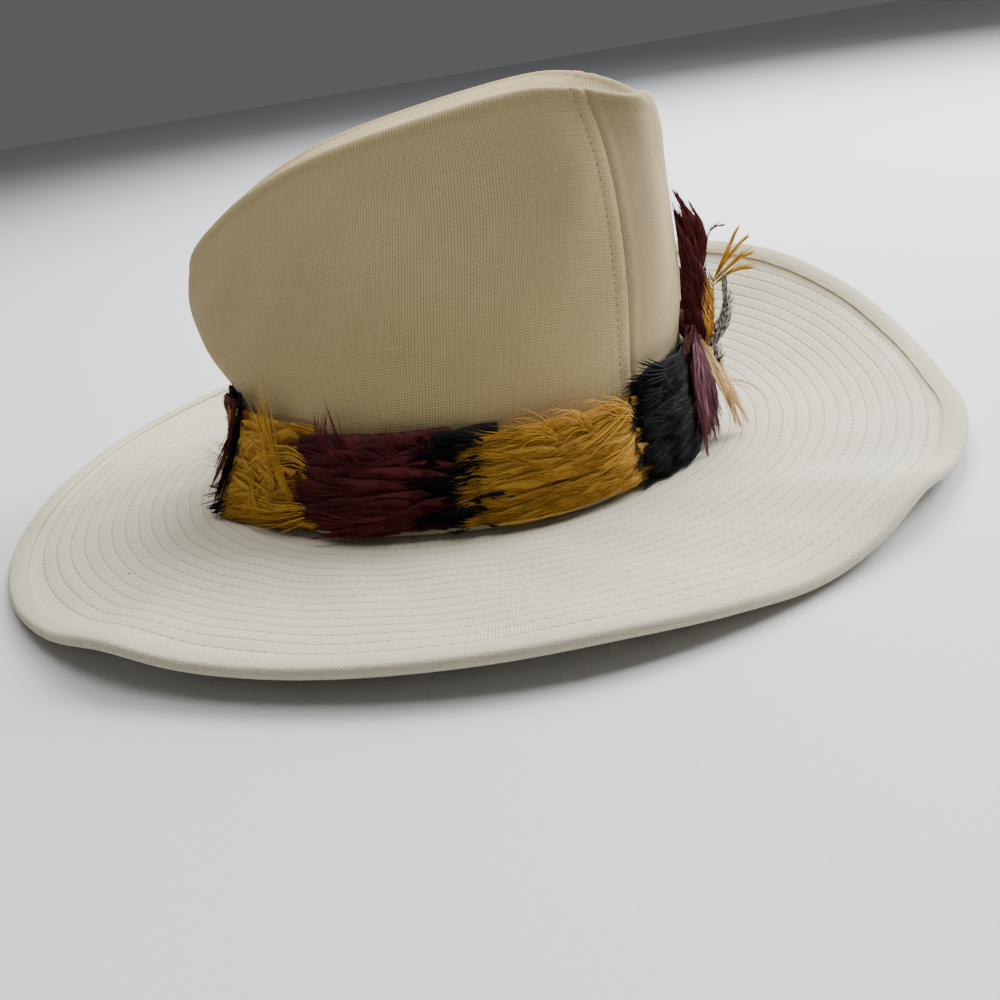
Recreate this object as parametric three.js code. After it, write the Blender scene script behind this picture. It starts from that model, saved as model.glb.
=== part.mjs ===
// Feathered linen hat: a tall seamed crown, a wide stitched brim with a bound edge and a ring of feathers.
// Millimetres. +X is the seamed front, -Y the side with the mustard and burgundy feathers, +Z up.
// Angles go round the crown in degrees, 0 at the front, 90 at the far side, 270 at the near side.
import * as THREE from "three";
import { mergeVertices } from "three/addons/utils/BufferGeometryUtils.js";

// Driving sizes
const CROWN_FOOT = { halfLength: 96, halfWidth: 85, power: 2.15 };
const CROWN_CLOTH = 2;
const FAR_RIDGE_LIFT = 0.11;
const BRIM_CLOTH = 2.4;
const BRIM_FLAT = 16;
const BRIM_CURVE = 1.35;
const BINDING = { width: 8, cloth: 0.9 };
const TAPE = { cloth: 1, low: 0.6, high: 31, clear: 0.65 };
const GAP = 0.3;
const SEAM_ANGLE = 39.5;
const BAND_PINCH = { height: 36, reach: 24 };
const MILLIMETRES_A_DEGREE = 1.6;
const CURVE_STEPS_ROUND = 54;

// A table's rows as records, from the names of its columns.
function rowsOf(columns, rows) {
  return rows.map((row) => Object.fromEntries(columns.map((name, i) => [name, row[i]])));
}

// Half of the crown, from the front (0) to the back (180). The ridge is the top edge of the wall, the
// gutter the line between the two ridges. Leans are degrees outward from upright, going up the wall.
const CROWN_ROWS = rowsOf(
  ["at", "ridgeX", "ridgeY", "ridgeZ", "gutterX", "gutterZ", "footLean", "topLean", "round", "pinch"],
  [
    [0, 89.5, 0, 127, 82, 126, -6, -4, 5, 3],
    [14, 87, 8, 129, 76, 125, -6, -7, 5, 3],
    [28, 79, 14, 131, 64, 128, -8, -18, 5, 2],
    [43, 60, 16, 136.5, 46, 134.5, -11, -30, 5, 1],
    [62, 40, 16.5, 138, 28, 136.5, -14, -38, 5, 0],
    [90, -4, 17, 133, -8, 131.5, -14, -40, 5, 0],
    [115, -42, 16, 126, -41, 124.5, -12, -38, 5, 1],
    [138, -70, 13.5, 116, -64, 116.5, -8, -34, 6, 4],
    [156, -89, 9.5, 105, -78, 110, -4, -30, 7, 6],
    [170, -100, 5, 97, -87, 105, -2, -26, 8, 7],
    [180, -104, 0, 93, -91, 103, -1, -24, 8, 7],
  ],
);

// The brim's edge all the way round: its width from the crown, and its rise above the brim's foot.
const BRIM_ROWS = [
  { at: 0, width: 95, rise: 10 },
  { at: 14, width: 95, rise: 15 },
  { at: 28, width: 96, rise: 26 },
  { at: 45, width: 98, rise: 37 },
  { at: 62, width: 98, rise: 39 },
  { at: 78, width: 98, rise: 32 },
  { at: 98, width: 98, rise: 18 },
  { at: 122, width: 98, rise: 7 },
  { at: 148, width: 98, rise: 2 },
  { at: 170, width: 97, rise: 1.6 },
  { at: 190, width: 96, rise: 1.5 },
  { at: 206, width: 97, rise: 1.5 },
  { at: 220, width: 98, rise: 3 },
  { at: 231, width: 98, rise: 6 },
  { at: 241, width: 97, rise: 11 },
  { at: 251, width: 96, rise: 9 },
  { at: 263, width: 95, rise: 8 },
  { at: 280, width: 95, rise: 9 },
  { at: 292, width: 95, rise: 9 },
  { at: 303, width: 95, rise: 6 },
  { at: 312, width: 95, rise: 3 },
  { at: 320, width: 95, rise: 5 },
  { at: 329, width: 95, rise: 10 },
  { at: 338, width: 97, rise: 6 },
  { at: 350, width: 98, rise: 8 },
];

const LINEN_LIT = { color: 0xded3bd, roughness: 0.9 };
const LINEN_SHADE = { color: 0xcfc2a6, roughness: 0.92 };
const TAPE_CREAM = { color: 0xe6dcc6, roughness: 0.85 };
const FEATHER = {
  burgundy: { color: 0x4d161d, roughness: 0.7 },
  mustard: { color: 0xb07a22, roughness: 0.7 },
  black: { color: 0x11131a, roughness: 0.6 },
  mauve: { color: 0x6b3a42, roughness: 0.7 },
  tan: { color: 0xd9b277, roughness: 0.75 },
};

const radians = THREE.MathUtils.degToRad;
const smooth = (value, low, high) => THREE.MathUtils.smoothstep(value, low, high);

// A smooth curve through one column of a table, at any angle of a half or a whole turn.
function sample(rows, column, angle, span, mirrored = false, odd = false) {
  const last = rows.length - 1;
  const entry = (index) => {
    if (!mirrored) {
      const turn = Math.floor(index / rows.length);
      const row = rows[index - turn * rows.length];
      return [row.at + turn * span, row[column]];
    }
    if (index < 0) return [2 * rows[0].at - rows[-index].at, (odd ? -1 : 1) * rows[-index][column]];
    if (index > last) {
      const row = rows[2 * last - index];
      return [2 * rows[last].at - row.at, (odd ? -1 : 1) * row[column]];
    }
    return [rows[index].at, rows[index][column]];
  };
  let index = rows.findIndex((row) => row.at > angle) - 1;
  if (index < 0) index = angle < rows[0].at ? -1 : mirrored ? last - 1 : last;
  const [x0, y0] = entry(index - 1);
  const [x1, y1] = entry(index);
  const [x2, y2] = entry(index + 1);
  const [x3, y3] = entry(index + 2);
  const step = x2 - x1;
  const t = (angle - x1) / step;
  const m1 = ((y2 - y0) / (x2 - x0)) * step;
  const m2 = ((y3 - y1) / (x3 - x1)) * step;
  return (2 * t ** 3 - 3 * t ** 2 + 1) * y1 + (t ** 3 - 2 * t ** 2 + t) * m1
    + (3 * t ** 2 - 2 * t ** 3) * y2 + (t ** 3 - t ** 2) * m2;
}

const fullTurn = (angle) => ((angle % 360) + 360) % 360;

// The outside oval of the crown's foot, or one parallel to it, and its outward direction.
function ovalPoint(angle, inset = 0) {
  const { halfLength, halfWidth, power } = CROWN_FOOT;
  const c = Math.cos(radians(angle));
  const s = Math.sin(radians(angle));
  return new THREE.Vector3(
    (halfLength - inset) * Math.sign(c) * Math.abs(c) ** (2 / power),
    (halfWidth - inset) * Math.sign(s) * Math.abs(s) ** (2 / power),
    0,
  );
}

function ovalNormal(angle) {
  const step = 0.5;
  const along = ovalPoint(angle + step).sub(ovalPoint(angle - step));
  return new THREE.Vector3(along.y, -along.x, 0).normalize();
}

// Crown wall
const bezier = (t, a, b, c, d) => new THREE.CubicBezierCurve3(a, b, c, d).getPoint(t);
const WALL_SHARE = 0.78;
const RIDGE_SHARE = 0.92;

// A point of the crown's outside: height share 0 is the foot, 1 the gutter between the ridges.
function crownPoint(angle, share) {
  const turned = fullTurn(angle);
  const side = turned > 180 ? -1 : 1;
  const half = turned > 180 ? 360 - turned : turned;
  const value = (column, odd) => sample(CROWN_ROWS, column, half, 180, true, odd);
  const foot = ovalPoint(half);
  const footOut = ovalNormal(half);
  const ridge = new THREE.Vector3(value("ridgeX"), value("ridgeY", true), value("ridgeZ"));
  const gutter = new THREE.Vector3(value("gutterX"), 0, value("gutterZ"));
  const topOut = ridge.clone().sub(gutter).setZ(0).normalize();
  const lean = (out, degrees) => out.clone().multiplyScalar(Math.sin(radians(degrees)))
    .add(new THREE.Vector3(0, 0, Math.cos(radians(degrees))));
  const round = value("round");
  const up = lean(topOut, value("topLean"));
  const inward = gutter.clone().sub(ridge).normalize();
  const below = ridge.clone().addScaledVector(up, -round);
  const above = ridge.clone().addScaledVector(inward, round);
  const reach = foot.distanceTo(below) / 3;
  let point;
  if (share <= WALL_SHARE) {
    const first = foot.clone().addScaledVector(lean(footOut, value("footLean")), reach);
    const second = below.clone().addScaledVector(up, -reach);
    point = bezier(share / WALL_SHARE, foot, first, second, below);
  } else if (share <= RIDGE_SHARE) {
    const corner = ridge.clone().multiplyScalar(2).sub(below.clone().add(above).multiplyScalar(0.5));
    const t = (share - WALL_SHARE) / (RIDGE_SHARE - WALL_SHARE);
    point = new THREE.QuadraticBezierCurve3(below, corner, above).getPoint(t);
  } else {
    point = above.clone().lerp(gutter, (share - RIDGE_SHARE) / (1 - RIDGE_SHARE));
  }
  const fromPinch = (point.z - BAND_PINCH.height) / BAND_PINCH.reach;
  const pinched = value("pinch") * Math.exp(-2 * fromPinch ** 2) * smooth(share, 0, 0.1);
  point.addScaledVector(footOut, -pinched);
  point.y *= side;
  point.z += FAR_RIDGE_LIFT * point.y * smooth(share, 0.35, WALL_SHARE);
  point.z += BRIM_CLOTH + GAP;
  return point;
}

function crownNormal(angle, share) {
  const along = crownPoint(angle + 0.4, share).sub(crownPoint(angle - 0.4, share));
  const low = Math.max(share - 0.01, 0);
  const up = crownPoint(angle, Math.min(share + 0.01, 1)).sub(crownPoint(angle, low));
  return along.cross(up).normalize();
}

// A closed solid between two grids of points of the same size. A ring joins its first and last columns;
// a folded one has its last row laid against itself, so that row needs no edge.
function solidBetween(outer, inner, { ring = false, folded = false } = {}) {
  const corners = [];
  const quad = (a, b, c, d) => corners.push(a, b, c, a, c, d);
  const columns = outer.length;
  const rows = outer[0].length;
  const spans = ring ? columns : columns - 1;
  for (let i = 0; i < spans; i += 1) {
    const k = (i + 1) % columns;
    for (let j = 0; j < rows - 1; j += 1) {
      quad(outer[i][j], outer[k][j], outer[k][j + 1], outer[i][j + 1]);
      quad(inner[i][j + 1], inner[k][j + 1], inner[k][j], inner[i][j]);
    }
    quad(inner[i][0], inner[k][0], outer[k][0], outer[i][0]);
    if (!folded) quad(outer[i][rows - 1], outer[k][rows - 1], inner[k][rows - 1], inner[i][rows - 1]);
  }
  if (!ring) {
    const end = columns - 1;
    for (let j = 0; j < rows - 1; j += 1) {
      quad(outer[0][j], outer[0][j + 1], inner[0][j + 1], inner[0][j]);
      quad(inner[end][j], inner[end][j + 1], outer[end][j + 1], outer[end][j]);
    }
  }
  return closedGeometry(corners);
}

// A closed ring of one closed profile: sections is a list of closed loops of points.
function solidRing(sections) {
  const corners = [];
  sections.forEach((section, i) => {
    const next = sections[(i + 1) % sections.length];
    section.forEach((point, j) => {
      const k = (j + 1) % section.length;
      corners.push(point, next[j], next[k], point, next[k], section[k]);
    });
  });
  return closedGeometry(corners);
}

// Triangles from a list of corners, joined at equal points and turned to face outward.
function closedGeometry(corners) {
  const triangles = [];
  let volume = 0;
  for (let i = 0; i < corners.length; i += 3) {
    const [a, b, c] = [corners[i], corners[i + 1], corners[i + 2]];
    if (b.clone().sub(a).cross(c.clone().sub(a)).length() < 1e-7) continue;
    volume += a.dot(b.clone().cross(c));
    triangles.push([a, b, c]);
  }
  const ordered = volume < 0 ? triangles.map(([a, b, c]) => [a, c, b]) : triangles;
  const geometry = new THREE.BufferGeometry().setFromPoints(ordered.flat());
  const joined = mergeVertices(geometry, 1e-4);
  joined.computeVertexNormals();
  return joined;
}

const steps = (low, high, count) => (
  Array.from({ length: count + 1 }, (_, i) => low + ((high - low) * i) / count)
);

const RIDGE_SEAM_EASE = 0.4;
const TOP_FACING_SHARE = 0.97;
const WALL_STEPS = 9;
const RIDGE_STEPS = 4;
const SEAMS = [-SEAM_ANGLE, SEAM_ANGLE, 180, 360 - SEAM_ANGLE];
const nearestSeam = (angle) => SEAMS.reduce((best, seam) => (
  Math.abs(seam - angle) < Math.abs(best - angle) ? seam : best
));

// One panel of the crown, between two angles of the seams. Under the rounded ridge its inside runs straight.
function crownPanel(from, to, { columns, folded = false, side = 1 }) {
  const shares = [
    ...steps(0, WALL_SHARE, WALL_STEPS),
    ...steps(WALL_SHARE, RIDGE_SHARE, RIDGE_STEPS).slice(1),
    1,
  ];
  const outer = [];
  const inner = [];
  steps(from, to, columns).forEach((angle, column) => {
    const seamed = [0, columns].includes(column);
    const facing = seamed ? nearestSeam(angle) : angle;
    const away = seamed ? Math.sign(angle - facing) * RIDGE_SEAM_EASE : 0;
    const points = shares.map((share) => {
      const point = crownPoint(angle + away * smooth(share, 0.6, WALL_SHARE), share);
      const normal = crownNormal(facing, Math.min(share, TOP_FACING_SHARE));
      if (share === 0) normal.setZ(0).normalize();
      if (folded && share === 1) normal.setY(0).normalize();
      return { point, normal };
    });
    const clear = folded ? 0 : side * GAP * 0.55;
    const place = ({ point, normal }, depth) => {
      const placed = point.clone().addScaledVector(normal, -depth);
      if (!folded && placed.y * side < clear) placed.y = clear;
      if (!folded && side < 0 && placed.y > clear) placed.y = clear;
      return placed;
    };
    outer.push(points.map((entry) => place(entry, 0)));
    const inside = points.map((entry) => place(entry, CROWN_CLOTH));
    const ridgeTop = WALL_STEPS + RIDGE_STEPS;
    for (let row = WALL_STEPS + 1; row < ridgeTop; row += 1) {
      const across = (row - WALL_STEPS) / RIDGE_STEPS;
      inside[row] = inside[WALL_STEPS].clone().lerp(inside[ridgeTop], across);
    }
    inner.push(inside);
  });
  return solidBetween(outer, inner, { folded });
}

// Brim
// A point on the brim's middle layer or at a height above it: reach is millimetres out from the crown.
function brimPoint(angle, reach, height = 0) {
  const at = (distance, turn) => {
    const heading = fullTurn(turn);
    const width = sample(BRIM_ROWS, "width", heading, 360);
    const rise = sample(BRIM_ROWS, "rise", heading, 360);
    const out = Math.max(distance - BRIM_FLAT, 0) / (width - BRIM_FLAT);
    const point = ovalPoint(heading).addScaledVector(ovalNormal(heading), distance);
    point.z = BRIM_CLOTH / 2 + rise * out ** BRIM_CURVE;
    return point;
  };
  const outward = at(reach + 0.5, angle).sub(at(reach - 0.5, angle));
  const round = at(reach, angle + 0.5).sub(at(reach, angle - 0.5));
  const normal = outward.cross(round).normalize();
  if (normal.z < 0) normal.negate();
  return at(reach, angle).addScaledVector(normal, height);
}

const brimWidth = (angle) => sample(BRIM_ROWS, "width", fullTurn(angle), 360);
const aroundBrim = steps(0, 360, CURVE_STEPS_ROUND).slice(0, -1);

function brim() {
  const layer = (height) => aroundBrim.map((angle) => {
    const width = brimWidth(angle);
    const edge = width - BINDING.cloth - GAP;
    const reaches = [-CROWN_CLOTH, BRIM_FLAT, 32, 48, 64, 78, width - BINDING.width, edge - 2, edge];
    return reaches.map((reach) => brimPoint(angle, reach, height));
  });
  return solidBetween(layer(BRIM_CLOTH / 2), layer(-BRIM_CLOTH / 2), { ring: true });
}

function brimBinding() {
  const low = BRIM_CLOTH / 2 + GAP;
  const high = low + BINDING.cloth;
  return solidRing(aroundBrim.map((angle) => {
    const width = brimWidth(angle);
    const start = width - BINDING.width;
    const inside = width - BINDING.cloth;
    const upper = [
      [inside, low], [inside - 2, low], [start, low],
      [start, high], [inside - 2, high], [width - 0.3, high * 0.55],
    ];
    const loop = [...upper, ...upper.map(([reach, height]) => [reach, -height]).reverse()];
    return loop.map(([reach, height]) => brimPoint(angle, reach, height));
  }));
}

// Feather band
// A point off the crown's wall: height is above the brim, offset is out from the cloth.
function offWall(angle, height, offset) {
  const target = BRIM_CLOTH + GAP + height;
  let low = 0;
  let high = WALL_SHARE;
  for (let i = 0; i < 24; i += 1) {
    const middle = (low + high) / 2;
    if (crownPoint(angle, middle).z < target) low = middle;
    else high = middle;
  }
  const normal = crownNormal(angle, Math.max(low, 0.02)).setZ(0).normalize();
  return crownPoint(angle, low).addScaledVector(normal, offset);
}

function bandTape() {
  const layer = (offset) => aroundBrim.map((angle) => (
    steps(TAPE.low, TAPE.high, 3).map((height) => offWall(angle, height, offset))
  ));
  return solidBetween(layer(TAPE.clear + TAPE.cloth), layer(TAPE.clear), { ring: true });
}

// Each bunch of feathers lies with its quills at the first angle and its tips at the last, over the next.
const BUNCHES = [
  { name: "feathers_black_front", from: 346, to: 322, colour: "black", high: 41, jag: 5 },
  { name: "feathers_mustard_near", from: 322, to: 284, colour: "mustard", high: 40, jag: 3 },
  { name: "feathers_black_near", from: 284, to: 275, colour: "black", high: 39, jag: 5 },
  { name: "feathers_burgundy_near", from: 275, to: 245, colour: "burgundy", high: 40, jag: 5 },
  { name: "feathers_mustard_back", from: 245, to: 212, colour: "mustard", high: 41, jag: 4, splay: 9 },
  { name: "feathers_burgundy_back", from: 212, to: 195, colour: "burgundy", high: 40, jag: 5, splay: 3 },
  { name: "feathers_black_back", from: 195, to: 177, colour: "black", high: 39, jag: 5, splay: 3 },
  { name: "feathers_mustard_far", from: 177, to: 141, colour: "mustard", high: 40, jag: 4 },
  { name: "feathers_burgundy_far", from: 141, to: 111, colour: "burgundy", high: 40, jag: 4 },
  { name: "feathers_black_far", from: 111, to: 96, colour: "black", high: 39, jag: 5 },
  { name: "feathers_mustard_side", from: 96, to: 60, colour: "mustard", high: 40, jag: 4 },
  { name: "feathers_burgundy_front", from: 60, to: -14, colour: "burgundy", high: 42, jag: 5 },
];
const NEAR_FLARE = { out: 2.5, starts: 185, full: 215, fades: 295, ends: 322 };
const BUNCH = { lap: 5, low: 0.9, thin: 1.2, thick: 4, lockPitch: 9, lockRelief: 0.8, rows: 4, slant: 0.7 };

// How far a lock stands out, and how far it has risen, at a place along and up the band.
const lockShape = (along, height) => {
  const turn = (along + BUNCH.slant * height) / BUNCH.lockPitch;
  return turn - Math.floor(turn);
};

const nearFlare = (angle) => {
  const heading = fullTurn(angle);
  const { out, starts, full, fades, ends } = NEAR_FLARE;
  return out * smooth(heading, starts, full) * (1 - smooth(heading, fades, ends));
};

function featherBunch({ from, to, high, jag, splay = 0 }) {
  const lapAngle = BUNCH.lap;
  const columns = Math.max(7, Math.round((from - to) / 3.4));
  const angles = [...steps(from, to + 5, columns), to + 0.8, to - lapAngle / 2, to - lapAngle];
  const seat = TAPE.clear + TAPE.cloth + GAP * 1.5;
  const outer = [];
  const inner = [];
  angles.forEach((angle) => {
    const along = (from - angle) * MILLIMETRES_A_DEGREE;
    const lift = smooth(from - angle, from - to - 5, from - to - 0.8) * (BUNCH.thin + GAP * 2);
    const tapered = 1 - smooth(from - angle, from - to - 6, from - to);
    const body = smooth(from - angle, lapAngle, lapAngle + 4) * tapered;
    const end = smooth(from - angle, from - to - 2, from - to + lapAngle);
    const top = high + jag * (lockShape(along, high) - 0.5) * (0.4 + 0.6 * body) - 6 * end ** 2;
    const bottom = BUNCH.low + 5 * end ** 2;
    const heights = steps(bottom, top, BUNCH.rows);
    const thickness = (height) => {
      const belly = Math.sin((Math.PI * (height - bottom + 4)) / (top - bottom + 8)) ** 0.6;
      const relief = BUNCH.lockRelief * lockShape(along, height) * body;
      return BUNCH.thin + ((BUNCH.thick - BUNCH.thin) * belly + relief) * body;
    };
    const flare = nearFlare(angle) + splay * smooth(from - angle, (from - to) / 2, from - to);
    const stand = (height) => seat + lift + flare * Math.max(1 - height / high, 0) ** 1.5;
    inner.push(heights.map((height) => offWall(angle, height, stand(height))));
    outer.push(heights.map((height) => offWall(angle, height, stand(height) + thickness(height))));
  });
  return solidBetween(outer, inner);
}

// The spray on the front of the band, laid over the bunches. Each place is an angle and a height.
const SPRAY = [
  {
    name: "feathers_burgundy_plume", root: [1, 33], tip: [5, 91], half: 14, bow: 0,
    colour: "burgundy", lift: 6.4, flare: 2, cloth: 5,
  },
  {
    name: "feather_mauve", root: [-16, 35], tip: [-24, 4], half: 7.5, bow: 3,
    colour: "mauve", lift: 6.2, flare: 4, cloth: 1,
  },
  {
    name: "feather_tan", root: [-4, 31], tip: [-13, 6], half: 5.5, bow: 2,
    colour: "tan", lift: 7.2, flare: 9, cloth: 1,
  },
];

function sprayFeather({ root, tip, half, bow, lift, flare, cloth }) {
  const rise = tip[1] - root[1];
  const run = (tip[0] - root[0]) * MILLIMETRES_A_DEGREE;
  const length = Math.hypot(rise, run);
  const layer = (depth) => steps(0.02, 0.985, 10).map((t) => {
    const wide = half * Math.sin(Math.PI * t ** 0.8) ** 0.7 + 0.5;
    return steps(-1, 1, 4).map((across) => {
      const angle = root[0] + (tip[0] - root[0]) * t + (across * wide * rise) / length / MILLIMETRES_A_DEGREE;
      const height = root[1] + rise * t - (across * wide * run) / length + bow * Math.sin(Math.PI * t);
      const stand = lift + flare * t ** 2 + depth - 0.8 * across ** 2 * t;
      return offWall(angle, Math.max(height, BUNCH.low), stand);
    });
  });
  return solidBetween(layer(cloth), layer(0));
}

// Assembly
const hat = new THREE.Group();

function addPiece(name, geometry, look) {
  const material = new THREE.MeshStandardMaterial({ ...look, metalness: 0, side: THREE.DoubleSide });
  const mesh = new THREE.Mesh(geometry, material);
  mesh.name = name;
  hat.add(mesh);
}

// Half the angle left open at the two front seams, and at the back seam
const SEAM_CLEAR = 0.13;
const BACK_CLEAR = 0.35;
const frontEdge = SEAM_ANGLE - SEAM_CLEAR;
const sideEdge = SEAM_ANGLE + SEAM_CLEAR;
const frontPanel = crownPanel(-frontEdge, frontEdge, { columns: 16, folded: true });
const farPanel = crownPanel(sideEdge, 180 - BACK_CLEAR, { columns: 22 });
const nearPanel = crownPanel(180 + BACK_CLEAR, 360 - sideEdge, { columns: 22, side: -1 });
addPiece("crown_front", frontPanel, LINEN_LIT);
addPiece("crown_side_far", farPanel, LINEN_LIT);
addPiece("crown_side_near", nearPanel, LINEN_SHADE);
addPiece("brim", brim(), LINEN_LIT);
addPiece("brim_binding", brimBinding(), LINEN_SHADE);
addPiece("band_tape", bandTape(), TAPE_CREAM);
BUNCHES.forEach((bunch) => addPiece(bunch.name, featherBunch(bunch), FEATHER[bunch.colour]));
SPRAY.forEach((feather) => addPiece(feather.name, sprayFeather(feather), FEATHER[feather.colour]));

// The origin lies under the middle of the whole hat, on the surface that it stands on.
const bounds = new THREE.Box3().setFromObject(hat);
const middle = bounds.getCenter(new THREE.Vector3());
hat.children.forEach((mesh) => mesh.geometry.translate(-middle.x, -middle.y, -bounds.min.z));

export default hat;
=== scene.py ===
"""The seen surface of a seamed linen hat with a stitched brim and a ring of feathers.

Lengths inside the classes are millimetres in the hat's own frame: +X is the seamed front, -Y the side with
the mustard and burgundy feathers, +Z up. Angles go round the crown in degrees, 0 at the front and 270 at the
near side.
"""
import logging
import math
from collections.abc import Callable
from dataclasses import dataclass
from enum import Enum
from typing import ClassVar

import bpy
import numpy as np
from mathutils import Matrix, Vector
from mathutils.bvhtree import BVHTree


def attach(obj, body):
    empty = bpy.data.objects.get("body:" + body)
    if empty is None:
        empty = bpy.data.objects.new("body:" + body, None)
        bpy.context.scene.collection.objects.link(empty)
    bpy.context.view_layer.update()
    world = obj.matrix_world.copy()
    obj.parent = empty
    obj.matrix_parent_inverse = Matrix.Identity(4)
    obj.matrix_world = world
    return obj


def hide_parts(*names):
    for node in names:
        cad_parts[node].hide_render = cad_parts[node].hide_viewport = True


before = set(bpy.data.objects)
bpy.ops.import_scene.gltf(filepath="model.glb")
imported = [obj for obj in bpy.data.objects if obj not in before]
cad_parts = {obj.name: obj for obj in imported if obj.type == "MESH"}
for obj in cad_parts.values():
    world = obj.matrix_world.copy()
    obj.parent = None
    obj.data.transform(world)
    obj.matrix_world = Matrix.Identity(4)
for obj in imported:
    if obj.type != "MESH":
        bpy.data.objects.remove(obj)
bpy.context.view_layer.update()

LOG = logging.getLogger("hat")
METRE = 0.001
# The middle of the crown's foot, and about how many millimetres one degree is round the band.
CROWN_CENTRE = np.array([0.132, -1.679, 0.002])
ROUND_MM = 1.6
# The streaks of copied feathers start somewhere in this many millimetres of noise.
LANES = 400
Array = np.ndarray
Random = np.random.Generator
Piece = bpy.types.Object
Pair = tuple[float, float]
Triple = tuple[float, float, float]


class Dye(Enum):
    """The dyes of the feathers: a dark and a light tone, and a stray one in patches."""

    BURGUNDY = ((0.020, 0.0030, 0.0050), (0.185, 0.030, 0.036), (0.060, 0.018, 0.026))
    MUSTARD = ((0.210, 0.080, 0.006), (0.760, 0.430, 0.065), (0.200, 0.160, 0.035))
    BLACK = ((0.0006, 0.0008, 0.0014), (0.0024, 0.0034, 0.0060), (0.0016, 0.0028, 0.0052))
    MAUVE = ((0.060, 0.014, 0.024), (0.320, 0.125, 0.165), (0.120, 0.020, 0.030))
    TAN = ((0.340, 0.185, 0.050), (0.840, 0.600, 0.310), (0.700, 0.560, 0.400))
    BARRED = ((0.010, 0.010, 0.012), (0.740, 0.720, 0.680), (0.200, 0.190, 0.180))


# Shader maths


class Socket:
    """A shader value that can be used in plain arithmetic."""

    def __init__(self, shader: "Shader", output: object) -> None:
        """Keeps the shader and the output it stands for."""
        self.shader = shader
        self.output = output

    def _math(self, operation: str, *values: object) -> "Socket":
        """Adds one Math node."""
        return self.shader.node("ShaderNodeMath", {"operation": operation}, dict(enumerate(values)))

    def __add__(self, other: object) -> "Socket":
        """Adds."""
        return self._math("ADD", self, other)

    def __sub__(self, other: object) -> "Socket":
        """Takes away."""
        return self._math("SUBTRACT", self, other)

    def __rsub__(self, other: object) -> "Socket":
        """Takes this away from a number."""
        return self._math("SUBTRACT", other, self)

    def __mul__(self, other: object) -> "Socket":
        """Multiplies."""
        return self._math("MULTIPLY", self, other)

    def __truediv__(self, other: object) -> "Socket":
        """Divides."""
        return self._math("DIVIDE", self, other)

    def __pow__(self, other: object) -> "Socket":
        """Raises to a power."""
        return self._math("POWER", self, other)

    def sine(self) -> "Socket":
        """The sine."""
        return self._math("SINE", self)

    def absolute(self) -> "Socket":
        """The size without its sign."""
        return self._math("ABSOLUTE", self)

    def remainder(self, other: object) -> "Socket":
        """What is left over a whole number of times, never negative."""
        return self._math("FLOORED_MODULO", self, other)

    def below(self, other: object) -> "Socket":
        """1 where this is less than the other."""
        return self._math("LESS_THAN", self, other)

    def step(self, low: float, high: float) -> "Socket":
        """A smooth step from 0 at low to 1 at high."""
        settings = {"interpolation_type": "SMOOTHSTEP"}
        return self.shader.node("ShaderNodeMapRange", settings, {0: self, 1: low, 2: high, 3: 0.0, 4: 1.0})


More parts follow.
